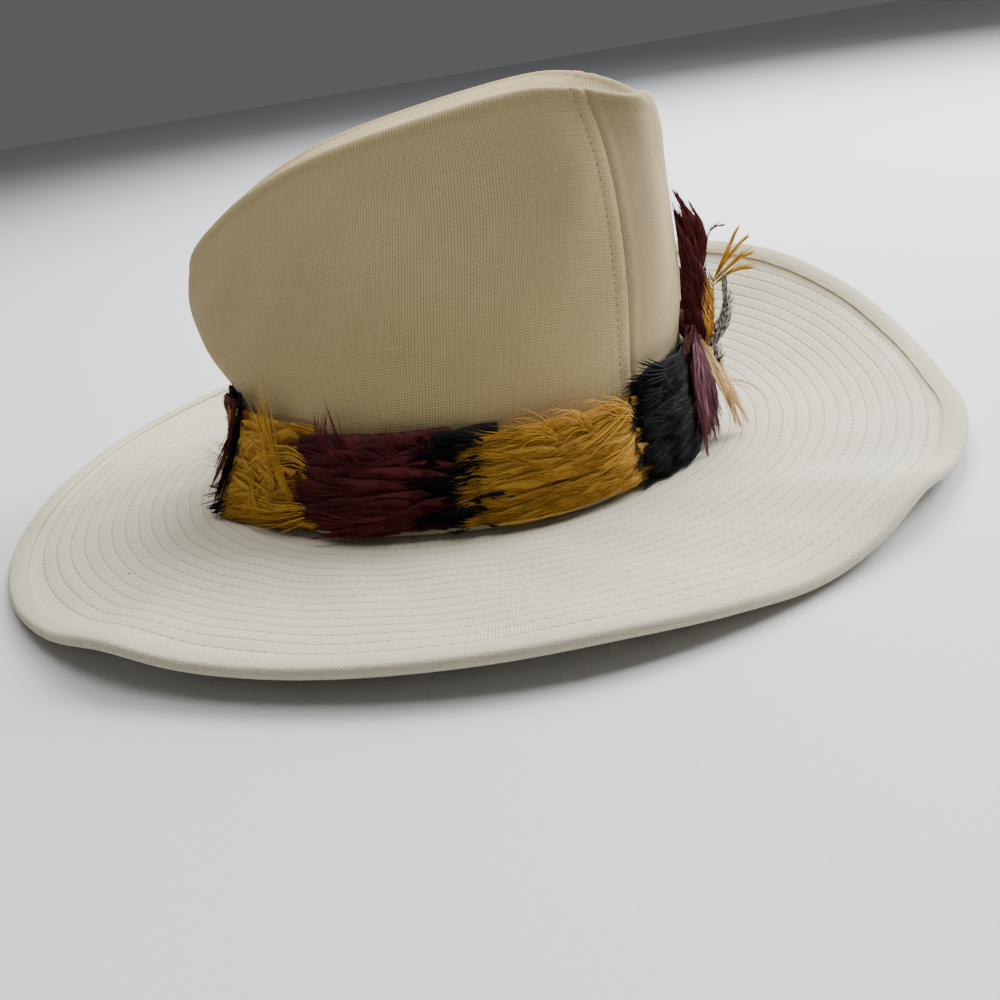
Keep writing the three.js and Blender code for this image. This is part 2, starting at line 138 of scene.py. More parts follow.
class Shader:
    """Builds one material's nodes."""

    def __init__(self, name: str) -> None:
        """Makes an empty material with a Principled shader."""
        self.material = bpy.data.materials.new(name)
        self.material.use_nodes = True
        self.tree = self.material.node_tree
        self.surface = self.tree.nodes["Principled BSDF"]

    def _set(self, target: object, value: object) -> None:
        """Sets or links one input."""
        if isinstance(value, Socket):
            self.tree.links.new(value.output, target)
        else:
            target.default_value = value

    def node(self, kind: str, settings: dict, inputs: dict, output: object = 0) -> Socket:
        """Adds a node.

        Args:
            kind: The node's type.
            settings: Its own settings, set first. A ramp's stops are given as "stops".
            inputs: Values or sockets by input number or name.
            output: Number or name of the output that is wanted.

        Returns:
            The wanted output.
        """
        made = self.tree.nodes.new(kind)
        for key, value in settings.items():
            if key == "stops":
                for index, (place, colour) in enumerate(value):
                    stops = made.color_ramp.elements
                    stop = stops[index] if index < len(stops) else stops.new(place)
                    stop.position = place
                    stop.color = (*colour, 1.0)
            else:
                setattr(made, key, value)
        for key, value in inputs.items():
            self._set(made.inputs[key], value)
        return Socket(self, made.outputs[output])

    def mix(self, share: object, first: object, second: object) -> Socket:
        """Mixes two colours.

        Args:
            share: How much of the second.
            first: A colour as three numbers, or a socket.
            second: A colour as three numbers, or a socket.

        Returns:
            The mixed colour.
        """
        colours = [c if isinstance(c, Socket) else (*c, 1.0) for c in (first, second)]
        return self.node("ShaderNodeMix", {"data_type": "RGBA"}, {0: share, 6: colours[0], 7: colours[1]}, 2)

    def _vector(self, operation: str, inputs: dict) -> Socket:
        """Adds one Vector Math node."""
        return self.node("ShaderNodeVectorMath", {"operation": operation}, inputs)

    def cloth_map(self, turn: float = 0.0, waver: float = 0.0) -> tuple[Socket, Socket]:
        """The cloth's own map in millimetres, along and across the threads.

        Args:
            turn: Degrees that the grain is turned by.
            waver: Millimetres that the threads wander.

        Returns:
            The place along and across.
        """
        plain = self.node("ShaderNodeUVMap", {"uv_map": "cloth"}, {})
        if waver:
            drift = self.node("ShaderNodeTexNoise", {}, {"Vector": plain, "Scale": 0.06, "Detail": 2.0}, 1)
            centred = self._vector("SUBTRACT", {0: drift, 1: (0.5, 0.5, 0.5)})
            plain = self._vector("ADD", {0: plain, 1: self._vector("SCALE", {0: centred, 3: waver})})
        turned = self.node("ShaderNodeMapping", {}, {0: plain, 2: (0.0, 0.0, math.radians(turn))})
        return tuple(self.node("ShaderNodeSeparateXYZ", {}, {0: turned}, axis) for axis in (0, 1))

    def joined(self, along: object, across: object, third: object = 0.0) -> Socket:
        """Joins numbers into one vector."""
        return self.node("ShaderNodeCombineXYZ", {}, {0: along, 1: across, 2: third})

    def noise(self, vector: object, scale: float, detail: float = 2.0) -> Socket:
        """A soft noise from 0 to 1."""
        return self.node("ShaderNodeTexNoise", {}, {"Vector": vector, "Scale": scale, "Detail": detail})

    def place(self) -> Socket:
        """The place on the object, in metres."""
        return self.node("ShaderNodeTexCoord", {}, {}, "Object")

    def bump(self, height: Socket, distance: float, strength: float = 1.0) -> Socket:
        """Turns a height into a normal."""
        return self.node("ShaderNodeBump", {}, {"Height": height, "Distance": distance, "Strength": strength})

    def finish(self, **inputs: object) -> bpy.types.Material:
        """Sets the Principled shader's inputs, named with underscores for blanks."""
        for key, value in inputs.items():
            self._set(self.surface.inputs[key.replace("_", " ")], value)
        return self.material


# Finishes


@dataclass(frozen=True)
class LinenFinish:
    """Plain-woven linen, with painted light and shade on the thread crossings and painted shade in the gaps
    between threads; rows of stitching where the brim has them.
    """

    name: str
    colour: Triple
    thread: float = 0.85
    turn: float = 0.0
    stitch_rows: float = 0.0
    rows_from: float = 0.0
    rows_to: float = 0.0
    # How dark the painted shade in the gaps between threads is.
    holes: float = 0.75
    waver: float = 0.6
    stitch: float = 1.5
    stitch_pitch: float = 3.4
    row_shift: float = 9.0
    spots: tuple[Triple, ...] = ()

    def tinted(self, *shares: float) -> Triple:
        """The linen's colour with each part scaled."""
        return tuple(c * s for c, s in zip(self.colour, shares))

    def material(self) -> bpy.types.Material:
        """Builds the linen.

        Returns:
            The material.
        """
        shader = Shader(self.name)
        along, across = shader.cloth_map(self.turn, self.waver)
        turn = math.pi / self.thread
        warp = (along * turn).sine().absolute()
        weft = (across * turn).sine().absolute()
        over = ((along * turn).sine() * (across * turn).sine()) * 0.5 + 0.5
        holes = 1.0 - (warp * weft).step(0.0, 0.42)
        slub_along = shader.noise(shader.joined(along * 0.07, across * 1.3), 1.0, 3.0)
        slub_across = shader.noise(shader.joined(along * 1.3, across * 0.07, 7.0), 1.0, 3.0)
        slubs = (slub_along * 0.5 + slub_across * 0.5).step(0.34, 0.66)
        broad = shader.noise(shader.place(), 11.0, 3.0)
        light = tuple(min(c * 1.08, 0.92) for c in self.colour)
        # Paler slubs of thread are real; the lighter tint where a thread lies on top and the darker tint
        # where it lies under are painted light and shade.
        colour = shader.mix(slubs * 0.5 + over * 0.3, self.tinted(0.86, 0.83, 0.77), light)
        # The gaps between threads are painted dark as shade.
        colour = shader.mix(holes * self.holes, colour, self.tinted(0.40, 0.34, 0.25))
        colour = shader.mix(broad.step(0.4, 0.75) * 0.25, colour, self.tinted(0.88, 0.83, 0.73))
        height = over * 0.35 + slubs * 0.35 - holes * 0.6
        normal = shader.bump(height, 0.00035, 0.5)
        if self.stitch_rows:
            colour, normal = self._stitched(shader, colour, height)
        return shader.finish(
            Base_Color=colour,
            Normal=normal,
            Roughness=0.92,
            Specular_IOR_Level=0.25,
            Sheen_Weight=0.1,
            Sheen_Roughness=0.5,
        )

    def _stitched(self, shader: Shader, colour: Socket, height: Socket) -> tuple[Socket, Socket]:
        """Adds the rows of stitching, each in its groove, with the stitches and the groove painted darker as
        shade, and the small marks.

        Args:
            shader: The linen's shader.
            colour: The plain linen's colour.
            height: The plain linen's height.

        Returns:
            The colour and the normal.
        """
        along, across = shader.cloth_map()
        started = across.step(self.rows_from - 0.3, self.rows_from)
        inside = started * (1.0 - across.step(self.rows_to, self.rows_to + 0.3))
        row = (across - self.rows_from).remainder(self.stitch_rows)
        off_row = (row - self.stitch_rows / 2).absolute()
        groove = (1.0 - off_row.step(0.1, 0.9)) * inside
        line = (1.0 - off_row.step(0.14, 0.34)) * inside
        shift = (across / self.stitch_rows).sine() * self.row_shift
        dash = (along + shift).remainder(self.stitch_pitch).below(self.stitch)
        # The stitch thread is the linen's own cream; its dark dashes and the darker line between them are
        # painted shade in the stitch holes and the groove.
        colour = shader.mix(line * dash * 0.8, colour, self.tinted(0.40, 0.37, 0.33))
        colour = shader.mix(line * (1.0 - dash) * 0.3, colour, self.tinted(0.66, 0.62, 0.55))
        for at_along, at_across, radius in self.spots:
            off = ((along - at_along) ** 2 + (across - at_across) ** 2) ** 0.5
            mark = 1.0 - off.step(radius * 0.5, radius)
            colour = shader.mix(mark * 0.75, colour, self.tinted(0.12, 0.10, 0.09))
        return colour, shader.bump(height * 0.35 - groove * 0.8 - line * dash * 0.4, 0.0005, 0.6)


@dataclass(frozen=True)
class FeatherFinish:
    """Dyed feather, from a dark to a light tone along and between the barbs."""

    name: str
    dye: Dye
    rough: float = 0.62

    def material(self) -> bpy.types.Material:
        """Builds the feather finish.

        Returns:
            The material.
        """
        shader = Shader(self.name)
        tone = shader.node("ShaderNodeAttribute", {"attribute_name": "tone"}, {}, "Fac")
        lane = shader.node("ShaderNodeAttribute", {"attribute_name": "lane"}, {}, "Fac")
        streaks = {"W": lane, "Scale": 1.7, "Detail": 2.0}
        fine = shader.node("ShaderNodeTexNoise", {"noise_dimensions": "1D"}, streaks)
        patch = shader.noise(shader.place(), 120.0, 2.0)
        stray = shader.noise(shader.place(), 55.0, 1.0).step(0.58, 0.72) * 0.4
        low, high, odd = self.dye.value
        share = (tone + (fine - 0.5) * 1.2 + (patch - 0.5) * 0.5).step(-0.05, 1.05)
        return shader.finish(
            Base_Color=shader.mix(stray, shader.mix(share, low, high), odd),
            Normal=shader.bump(fine, 0.0004, 0.6),
            Roughness=self.rough,
            Specular_IOR_Level=0.13,
        )


@dataclass(frozen=True)
class PlainFinish:
    """One even colour, with a faint grain."""

    name: str
    colour: Triple
    rough: float = 0.8

    def material(self) -> bpy.types.Material:
        """Builds the even finish."""
        shader = Shader(self.name)
        grain = shader.noise(shader.place(), 700.0)
        shaded = tuple(c * 0.86 for c in self.colour)
        return shader.finish(Base_Color=shader.mix(grain, self.colour, shaded), Roughness=self.rough)


# Shapes of the hat


class Profile:
    """A smooth curve through values given at a few angles."""

    def __init__(self, angles: list[float], values: list[float], mirrored: bool, odd: bool = False) -> None:
        """Lays out the values and their slopes.

        Args:
            angles: Degrees, rising.
            values: The value at each.
            mirrored: Whether the curve mirrors at both ends, rather than going round.
            odd: Whether it changes sign where it mirrors.
        """
        x, y = np.array(angles, float), np.array(values, float)
        if mirrored:
            sign = -1.0 if odd else 1.0
            x = np.concatenate([2 * x[0] - x[2:0:-1], x, 2 * x[-1] - x[-2:-4:-1]])
            y = np.concatenate([sign * y[2:0:-1], y, sign * y[-2:-4:-1]])
        else:
            x = np.concatenate([x[-2:] - 360, x, x[:2] + 360])
            y = np.concatenate([y[-2:], y, y[:2]])
        self.x, self.y = x, y
        self.slope = np.zeros_like(y)
        self.slope[1:-1] = (y[2:] - y[:-2]) / (x[2:] - x[:-2])

    def __call__(self, angle: Array) -> Array:
        """The value at each angle."""
        i = np.clip(np.searchsorted(self.x, angle, "right") - 1, 1, len(self.x) - 3)
        step = self.x[i + 1] - self.x[i]
        t = (angle - self.x[i]) / step
        return (
            (2 * t**3 - 3 * t**2 + 1) * self.y[i]
            + (t**3 - 2 * t**2 + t) * step * self.slope[i]
            + (3 * t**2 - 2 * t**3) * self.y[i + 1]
            + (t**3 - t**2) * step * self.slope[i + 1]
        )


def smooth(value: Array, low: float, high: float) -> Array:
    """A smooth step from 0 at low to 1 at high."""
    t = np.clip((value - low) / (high - low), 0.0, 1.0)
    return t * t * (3 - 2 * t)


def hump(value: Array, middle: float, reach: float, power: int = 2) -> Array:
    """A rounded hump, 1 at its middle."""
    return np.exp(-(((value - middle) / reach) ** power))


def unit(vectors: Array) -> Array:
    """Vectors of length one."""
    return vectors / np.maximum(np.linalg.norm(vectors, axis=-1, keepdims=True), 1e-9)


@dataclass
class HatShape:
    """The crown's wall and the brim as surfaces that a place can be read from."""

    half_length: float = 96
    half_width: float = 85
    power: float = 2.15
    brim_cloth: float = 2.4
    gap: float = 0.3
    far_lift: float = 0.11
    wall_share: float = 0.78
    ridge_share: float = 0.92
    brim_flat: float = 16
    brim_curve: float = 1.35
    pinch_height: float = 36
    pinch_reach: float = 24
    crown_columns: tuple[str, ...] = (
        "at", "ridge_x", "ridge_y", "ridge_z", "gutter_x", "gutter_z", "foot_lean", "top_lean",
        "round", "pinch",
    )
    crown_rows: tuple[tuple[float, ...], ...] = (
        (0, 89.5, 0, 127, 82, 126, -6, -4, 5, 3),
        (14, 87, 8, 129, 76, 125, -6, -7, 5, 3),
        (28, 79, 14, 131, 64, 128, -8, -18, 5, 2),
        (43, 60, 16, 136.5, 46, 134.5, -11, -30, 5, 1),
        (62, 40, 16.5, 138, 28, 136.5, -14, -38, 5, 0),
        (90, -4, 17, 133, -8, 131.5, -14, -40, 5, 0),
        (115, -42, 16, 126, -41, 124.5, -12, -38, 5, 1),
        (138, -70, 13.5, 116, -64, 116.5, -8, -34, 6, 4),
        (156, -89, 9.5, 105, -78, 110, -4, -30, 7, 6),
        (170, -100, 5, 97, -87, 105, -2, -26, 8, 7),
        (180, -104, 0, 93, -91, 103, -1, -24, 8, 7),
    )
    brim_rows: tuple[Triple, ...] = (
        (0, 95, 10), (14, 95, 15), (28, 96, 26), (45, 98, 37), (62, 98, 39), (78, 98, 32),
        (98, 98, 18), (122, 98, 7), (148, 98, 2), (170, 97, 1.6), (190, 96, 1.5), (206, 97, 1.5),
        (220, 98, 3), (231, 98, 6), (241, 97, 11), (251, 96, 9), (263, 95, 8), (280, 95, 9),
        (292, 95, 9), (303, 95, 6), (312, 95, 3), (320, 95, 5), (329, 95, 10), (338, 97, 6),
        (350, 98, 8),
    )

    def __post_init__(self) -> None:
        """Turns the tables into curves."""
        table = np.array(self.crown_rows, float)
        self.crown = {
            name: Profile(list(table[:, 0]), list(table[:, i]), True, name == "ridge_y")
            for i, name in enumerate(self.crown_columns)
        }
        rim = np.array(self.brim_rows, float)
        self.width = Profile(list(rim[:, 0]), list(rim[:, 1]), False)
        self.rise = Profile(list(rim[:, 0]), list(rim[:, 2]), False)

    def foot(self, angle: Array) -> Array:
        """The oval of the crown's foot."""
        c, s = np.cos(np.radians(angle)), np.sin(np.radians(angle))
        x = self.half_length * np.sign(c) * np.abs(c) ** (2 / self.power)
        y = self.half_width * np.sign(s) * np.abs(s) ** (2 / self.power)
        return np.stack([x, y, np.zeros_like(x)], -1)

    def foot_out(self, angle: Array) -> Array:
        """The outward direction at the foot."""
        along = self.foot(angle + 0.5) - self.foot(angle - 0.5)
        return unit(np.stack([along[..., 1], -along[..., 0], np.zeros_like(along[..., 0])], -1))

    def wall(self, angle: Array, share: Array) -> Array:
        """Places on the crown's outside.

        Args:
            angle: Degrees round the crown.
            share: 0 at the foot, 1 in the gutter between the ridges.

        Returns:
            The places, in millimetres in the hat's frame.
        """
        angle, share = np.broadcast_arrays(np.asarray(angle, float), np.asarray(share, float))
        turned = np.mod(angle, 360)
        side = np.where(turned > 180, -1.0, 1.0)
        half = np.where(turned > 180, 360 - turned, turned)
        value = {name: curve(half) for name, curve in self.crown.items() if name != "at"}
        foot, out = self.foot(half), self.foot_out(half)
        ridge = np.stack([value["ridge_x"], value["ridge_y"], value["ridge_z"]], -1)
        gutter = np.stack([value["gutter_x"], np.zeros_like(half), value["gutter_z"]], -1)
        level = ridge - gutter
        level[..., 2] = 0
        upright = np.array([0.0, 0.0, 1.0])

        def leaning(away: Array, degrees: Array) -> Array:
            """A direction that leans outward."""
            lean = np.radians(degrees)[..., None]
            return away * np.sin(lean) + upright * np.cos(lean)

        rounding = value["round"][..., None]
        up = leaning(unit(level), value["top_lean"])
        below = ridge - up * rounding
        above = ridge + unit(gutter - ridge) * rounding
        reach = np.linalg.norm(foot - below, axis=-1, keepdims=True) / 3
        first = foot + leaning(out, value["foot_lean"]) * reach
        second = below - up * reach
        t = np.clip(share / self.wall_share, 0, 1)[..., None]
        left = 1 - t
        point = left**3 * foot + 3 * left**2 * t * first + 3 * left * t**2 * second + t**3 * below
        corner = 2 * ridge - (below + above) / 2
        t = np.clip((share - self.wall_share) / (self.ridge_share - self.wall_share), 0, 1)[..., None]
        rolled = (1 - t) ** 2 * below + 2 * (1 - t) * t * corner + t**2 * above
        point = np.where((share > self.wall_share)[..., None], rolled, point)
        t = np.clip((share - self.ridge_share) / (1 - self.ridge_share), 0, 1)[..., None]
        point = np.where((share > self.ridge_share)[..., None], above + (gutter - above) * t, point)
        off_pinch = (point[..., 2] - self.pinch_height) / self.pinch_reach
        pinched = value["pinch"] * np.exp(-2 * off_pinch**2) * smooth(share, 0, 0.1)
        point = point - out * pinched[..., None]
        point[..., 1] *= side
        point[..., 2] += self.far_lift * point[..., 1] * smooth(share, 0.35, self.wall_share)
        point[..., 2] += self.brim_cloth + self.gap
        return point + CROWN_CENTRE

    def wall_out(self, angle: Array, share: Array) -> Array:
        """Outward directions of the crown's outside."""
        along = self.wall(angle + 0.4, share) - self.wall(angle - 0.4, share)
        up = self.wall(angle, np.minimum(share + 0.01, 1)) - self.wall(angle, np.maximum(share - 0.01, 0))
        return unit(np.cross(along, up))

    def brim(self, angle: Array, reach: Array, height: Array) -> Array:
        """Places on the brim.

        Args:
            angle: Degrees round the crown.
            reach: Millimetres out from the crown's foot.
            height: Millimetres above the brim's middle layer.

        Returns:
            The places, in millimetres in the hat's frame.
        """
        angle, reach, height = np.broadcast_arrays(
            np.asarray(angle, float), np.asarray(reach, float), np.asarray(height, float)
        )

        def layer(distance: Array, turn: Array) -> Array:
            """The middle layer."""
            heading = np.mod(turn, 360)
            out = np.maximum(distance - self.brim_flat, 0) / (self.width(heading) - self.brim_flat)
            point = self.foot(heading) + self.foot_out(heading) * distance[..., None]
            point[..., 2] = self.brim_cloth / 2 + self.rise(heading) * out**self.brim_curve
            return point

        outward = layer(reach + 0.5, angle) - layer(reach - 0.5, angle)
        along = layer(reach, angle + 0.5) - layer(reach, angle - 0.5)
        normal = unit(np.cross(outward, along))
        normal = np.where(normal[..., 2:] < 0, -normal, normal)
        return layer(reach, angle) + normal * height[..., None] + CROWN_CENTRE


def ray_target(solid: Piece) -> BVHTree:
    """A solid's surface in millimetres, for casting rays at."""
    points = [tuple(v.co / METRE) for v in solid.data.vertices]
    return BVHTree.FromPolygons(points, [tuple(p.vertices) for p in solid.data.polygons])


class BandSurface:
    """The outside of the feather band's solids, as a surface that barbs are laid on.

    It is a grid of ANGLES round the crown by HEIGHTS from LOW to HIGH, in millimetres. Rays are cast inward
    from REACH out, at the lowest MEASURED heights. Each height keeps at least FADE of the offset below it.
    """

    LOW, HIGH, ANGLES, HEIGHTS = -1.0, 120.0, 720, 122
    REACH, MEASURED, FADE = 30.0, 56, 0.93

    def __init__(self, shape: HatShape, solids: list[Piece]) -> None:
        """Measures how far the solids stand off the crown.

        Args:
            shape: The hat's surfaces.
            solids: The frame's solids that the barbs lie on.
        """
        angles = np.arange(self.ANGLES) * 360 / self.ANGLES
        heights = np.linspace(self.LOW, self.HIGH, self.HEIGHTS)
        shares = np.linspace(0, shape.wall_share, 120)
        base = np.zeros((self.ANGLES, self.HEIGHTS, 3))
        out = np.zeros_like(base)
        for i, angle in enumerate(angles):
            column = shape.wall(np.full_like(shares, angle), shares)
            level = column[:, 2] - shape.brim_cloth - shape.gap
            share = np.interp(heights, level, shares)
            base[i] = shape.wall(np.full_like(share, angle), share)
            facing = shape.wall_out(np.full_like(share, angle), np.maximum(share, 0.02))
            facing[:, 2] = 0
            out[i] = unit(facing)
        self.base, self.out = base, out
        self.off = self._measure(solids)

    def _measure(self, solids: list[Piece]) -> Array:
        """Casts a ray inward at each place and keeps how far out it lands."""
        trees = [ray_target(solid) for solid in solids]
        off = np.zeros((self.ANGLES, self.HEIGHTS))
        for i in range(0, self.ANGLES, 2):
            for j in range(self.MEASURED):
                start = Vector(self.base[i, j] + self.out[i, j] * self.REACH)
                hits = [tree.ray_cast(start, Vector(-self.out[i, j]), self.REACH) for tree in trees]
                nearest = min([self.REACH] + [hit[3] for hit in hits if hit[0] is not None])
                off[i : i + 2, j] = self.REACH - nearest
        for j in range(1, self.HEIGHTS):
            off[:, j] = np.maximum(off[:, j], off[:, j - 1] * self.FADE)
        return off

    def at(self, angle: Array, height: Array, extra: Array) -> tuple[Array, Array]:
        """Places off the band.

        Args:
            angle: Degrees round the crown.
            height: Millimetres above the brim.
            extra: Millimetres out from the band's solids.

        Returns:
            The places and their outward directions.
        """
        a = np.mod(angle, 360) * self.ANGLES / 360
        share = (height - self.LOW) / (self.HIGH - self.LOW)
        h = np.clip(share * (self.HEIGHTS - 1), 0, self.HEIGHTS - 1.001)
        i, j = np.floor(a).astype(int) % self.ANGLES, np.floor(h).astype(int)
        u, v = (a - np.floor(a))[..., None], (h - j)[..., None]

        def blended(grid: Array) -> Array:
            """Reads a grid between its places."""
            k = (i + 1) % self.ANGLES
            return (
                grid[i, j] * (1 - u) * (1 - v) + grid[k, j] * u * (1 - v)
                + grid[i, j + 1] * (1 - u) * v + grid[k, j + 1] * u * v
            )

        out = unit(blended(self.out))
        off = blended(self.off[..., None])
        return blended(self.base) + out * (off + extra[..., None]), out


# Workshop


class Workshop:
    """The operators and copies that all pieces are made with."""

    BACKING_TONE = 0.25
    SMOOTH_BELOW = math.radians(50)

    @staticmethod
    def clear() -> None:
        """Leaves nothing selected."""
        if bpy.context.mode != "OBJECT":
            bpy.ops.object.mode_set(mode="OBJECT")
        bpy.ops.object.select_all(action="DESELECT")

    @staticmethod
    def apply(piece: Piece, kind: str, **settings: object) -> None:
        """Adds a modifier and applies it."""
        bpy.context.view_layer.objects.active = piece
        modifier = piece.modifiers.new(kind.lower(), kind)
        for key, value in settings.items():
            setattr(modifier, key, value)
        bpy.ops.object.modifier_apply(modifier=modifier.name)

    @classmethod
    def cloth(
        cls,
        name: str,
        grid: tuple[int, int],
        place: Callable[[Array, Array], Array],
        cloth_map: Callable[[Array, Array], Array],
        thickness: float,
        closed: bool = False,
        flip: bool = False,
    ) -> Piece:
        """Makes a sheet of cloth with a real thickness.

        Args:
            name: The piece's name.
            grid: Faces along and across.
            place: Places in millimetres from shares along and across.
            cloth_map: The cloth's own map in millimetres from the same shares.
            thickness: Millimetres, laid inward.
            closed: Whether edges that meet are joined.
            flip: Whether its outside is the grid's back.

        Returns:
            The piece.
        """
        cls.clear()
        bpy.ops.mesh.primitive_grid_add(x_subdivisions=grid[0], y_subdivisions=grid[1], size=1.0)
        piece = bpy.context.object
        piece.name = piece.data.name = name
        mesh = piece.data
        shares = np.zeros(len(mesh.vertices) * 3)
        mesh.vertices.foreach_get("co", shares)
        shares = shares.reshape(-1, 3)[:, :2] + 0.5
        corners = np.zeros(len(mesh.loops), int)
        mesh.loops.foreach_get("vertex_index", corners)
        mesh.uv_layers[0].name = "cloth"
        mesh.uv_layers[0].data.foreach_set("uv", cloth_map(shares[corners, 0], shares[corners, 1]).ravel())
        mesh.vertices.foreach_set("co", (place(shares[:, 0], shares[:, 1]) * METRE).ravel())
        bpy.ops.object.mode_set(mode="EDIT")
        bpy.ops.mesh.select_all(action="SELECT")
        if closed:
            bpy.ops.mesh.remove_doubles(threshold=2e-5)
        if flip:
            bpy.ops.mesh.flip_normals()
        bpy.ops.object.mode_set(mode="OBJECT")
        cls.apply(piece, "SOLIDIFY", thickness=thickness * METRE, offset=-1.0, use_even_offset=False)
        bpy.ops.object.shade_smooth_by_angle(angle=cls.SMOOTH_BELOW)
        return piece

    @classmethod
    def backing(cls, node: str, lowest: float, highest: float) -> "Made":
        """The fused body behind feathers, from the frame's solid.

        Args:
            node: The solid's name.
            lowest: Height that its foot is drawn up to.
            highest: Height that its top is drawn down to.

        Returns:
            The body.
        """
        cls.clear()
        copy = bpy.data.objects.new("backing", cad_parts[node].data.copy())
        bpy.context.scene.collection.objects.link(copy)
        copy.select_set(True)
        bpy.context.view_layer.objects.active = copy
        bpy.ops.object.mode_set(mode="EDIT")
        bpy.ops.mesh.select_all(action="SELECT")
        bpy.ops.mesh.remove_doubles(threshold=1e-5)
        bpy.ops.mesh.tris_convert_to_quads()
        bpy.ops.object.mode_set(mode="OBJECT")
        cls.apply(copy, "SUBSURF", levels=1, render_levels=1)
        cls.apply(copy, "TRIANGULATE")
        points = np.array([tuple(v.co) for v in copy.data.vertices]) / METRE
        faces = np.array([tuple(p.vertices) for p in copy.data.polygons])
        bpy.data.objects.remove(copy)
        points[:, 2] = np.maximum(points[:, 2], lowest + 0.1 * (points[:, 2] - lowest))
        points[:, 2] = np.minimum(points[:, 2], highest + 0.1 * (points[:, 2] - highest))
        tones = np.full(len(points), cls.BACKING_TONE)
        return Made(points, [faces], tones, points[:, 2] * 1.3 + points[:, 0] * 0.2)

    @classmethod
    def from_copies(cls, name: str, parts: list["Made"]) -> Piece:
        """Makes one piece from the points and faces of many copies.

        Args:
            name: The piece's name.
            parts: The copies.

        Returns:
            The piece.
        """
        mesh = bpy.data.meshes.new(name)
        points = np.concatenate([part.points for part in parts])
        bases = np.cumsum([0, *(len(part.points) for part in parts)])
        blocks = [block + base for part, base in zip(parts, bases) for block in part.faces]
        mesh.vertices.add(len(points))
        mesh.vertices.foreach_set("co", (points * METRE).ravel())
        corners = np.concatenate([block.ravel() for block in blocks])
        sizes = np.concatenate([np.full(len(block), block.shape[1]) for block in blocks])
        mesh.loops.add(len(corners))
        mesh.loops.foreach_set("vertex_index", corners)
        mesh.polygons.add(len(sizes))
        mesh.polygons.foreach_set("loop_start", np.concatenate([[0], np.cumsum(sizes)[:-1]]))
        mesh.update(calc_edges=True)
        mesh.validate()
        mesh.polygons.foreach_set("use_smooth", np.ones(len(mesh.polygons), bool))
        for key in ("tone", "lane"):
            values = np.concatenate([getattr(part, key + "s") for part in parts])
            mesh.attributes.new(key, "FLOAT", "POINT").data.foreach_set("value", values)
        piece = bpy.data.objects.new(name, mesh)
        bpy.context.scene.collection.objects.link(piece)
        return piece

    @classmethod
    def dress(cls, piece: Piece, material: bpy.types.Material, slot: str, *replaced: str) -> None:
        """Gives a piece its finish and its place in the frame.

        Args:
            piece: The piece.
            material: Its finish.
            slot: The record's slot that the finish belongs to; not used.
            *replaced: The frame's nodes that it takes the place of.
        """
        piece.data.materials.clear()
        piece.data.materials.append(material)
        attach(piece, "root")
        if replaced:
            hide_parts(*replaced)
        LOG.info("%s: %d triangles", piece.name, sum(len(p.vertices) - 2 for p in piece.data.polygons))


@dataclass
class Made:
    """Points, faces and shades of many copies of one shape.

    Points pressed up over a floor keep all but PRESSED of what they reached below it. Points pressed out in
    front of a wall keep KEPT of their depth, counted from DEEPEST behind it. Rays start at START, and only
    a hit farther out than FRONT counts.
    """

    PRESSED: ClassVar[float] = 0.92
    KEPT: ClassVar[float] = 0.08
    DEEPEST: ClassVar[float] = 4.0
    START: ClassVar[float] = 200.0
    FRONT: ClassVar[float] = 50.0

    points: Array
    faces: list[Array]
    tones: Array
    lanes: Array

    def above(self, lowest: float) -> "Made":
        """Presses what would reach lower up to a height."""
        self.points[:, 2] -= self.PRESSED * np.minimum(self.points[:, 2] - lowest, 0)
        return self

    def ahead(self, wall: BVHTree, clear: float) -> "Made":
        """Presses what would reach behind a wall that faces +X out in front of it.

        Args:
            wall: The wall, in millimetres.
            clear: How far in front of it the nearest points lie.

        Returns:
            The same copies.
        """
        for point in self.points:
            hit = wall.ray_cast(Vector((self.START, point[1], point[2])), Vector((-1.0, 0.0, 0.0)))
            if hit[0] is not None and hit[0].x > self.FRONT:
                kept = self.KEPT * max(point[0] - hit[0].x + self.DEEPEST, 0)
                point[0] = max(point[0], hit[0].x + clear + kept)
        return self


Faces = dict[int, list[tuple[int, ...]]]


def taken(piece: Piece) -> tuple[Array, Faces]:
    """Reads a small shape and removes it.

    Args:
        piece: The shape.

    Returns:
        Its points, and its faces by their number of corners.
    """
    points = np.array([tuple(v.co) for v in piece.data.vertices])
    faces: Faces = {}
    for polygon in piece.data.polygons:
        faces.setdefault(len(polygon.vertices), []).append(tuple(polygon.vertices))
    bpy.data.objects.remove(piece)
    return points, faces


def repeated(faces: Faces, count: int, size: int) -> list[Array]:
    """The faces of many copies, numbered on from one copy of some size to the next."""
    offsets = (np.arange(count) * size)[:, None, None]
    return [(np.array(block)[None] + offsets).reshape(-1, corners) for corners, block in faces.items()]


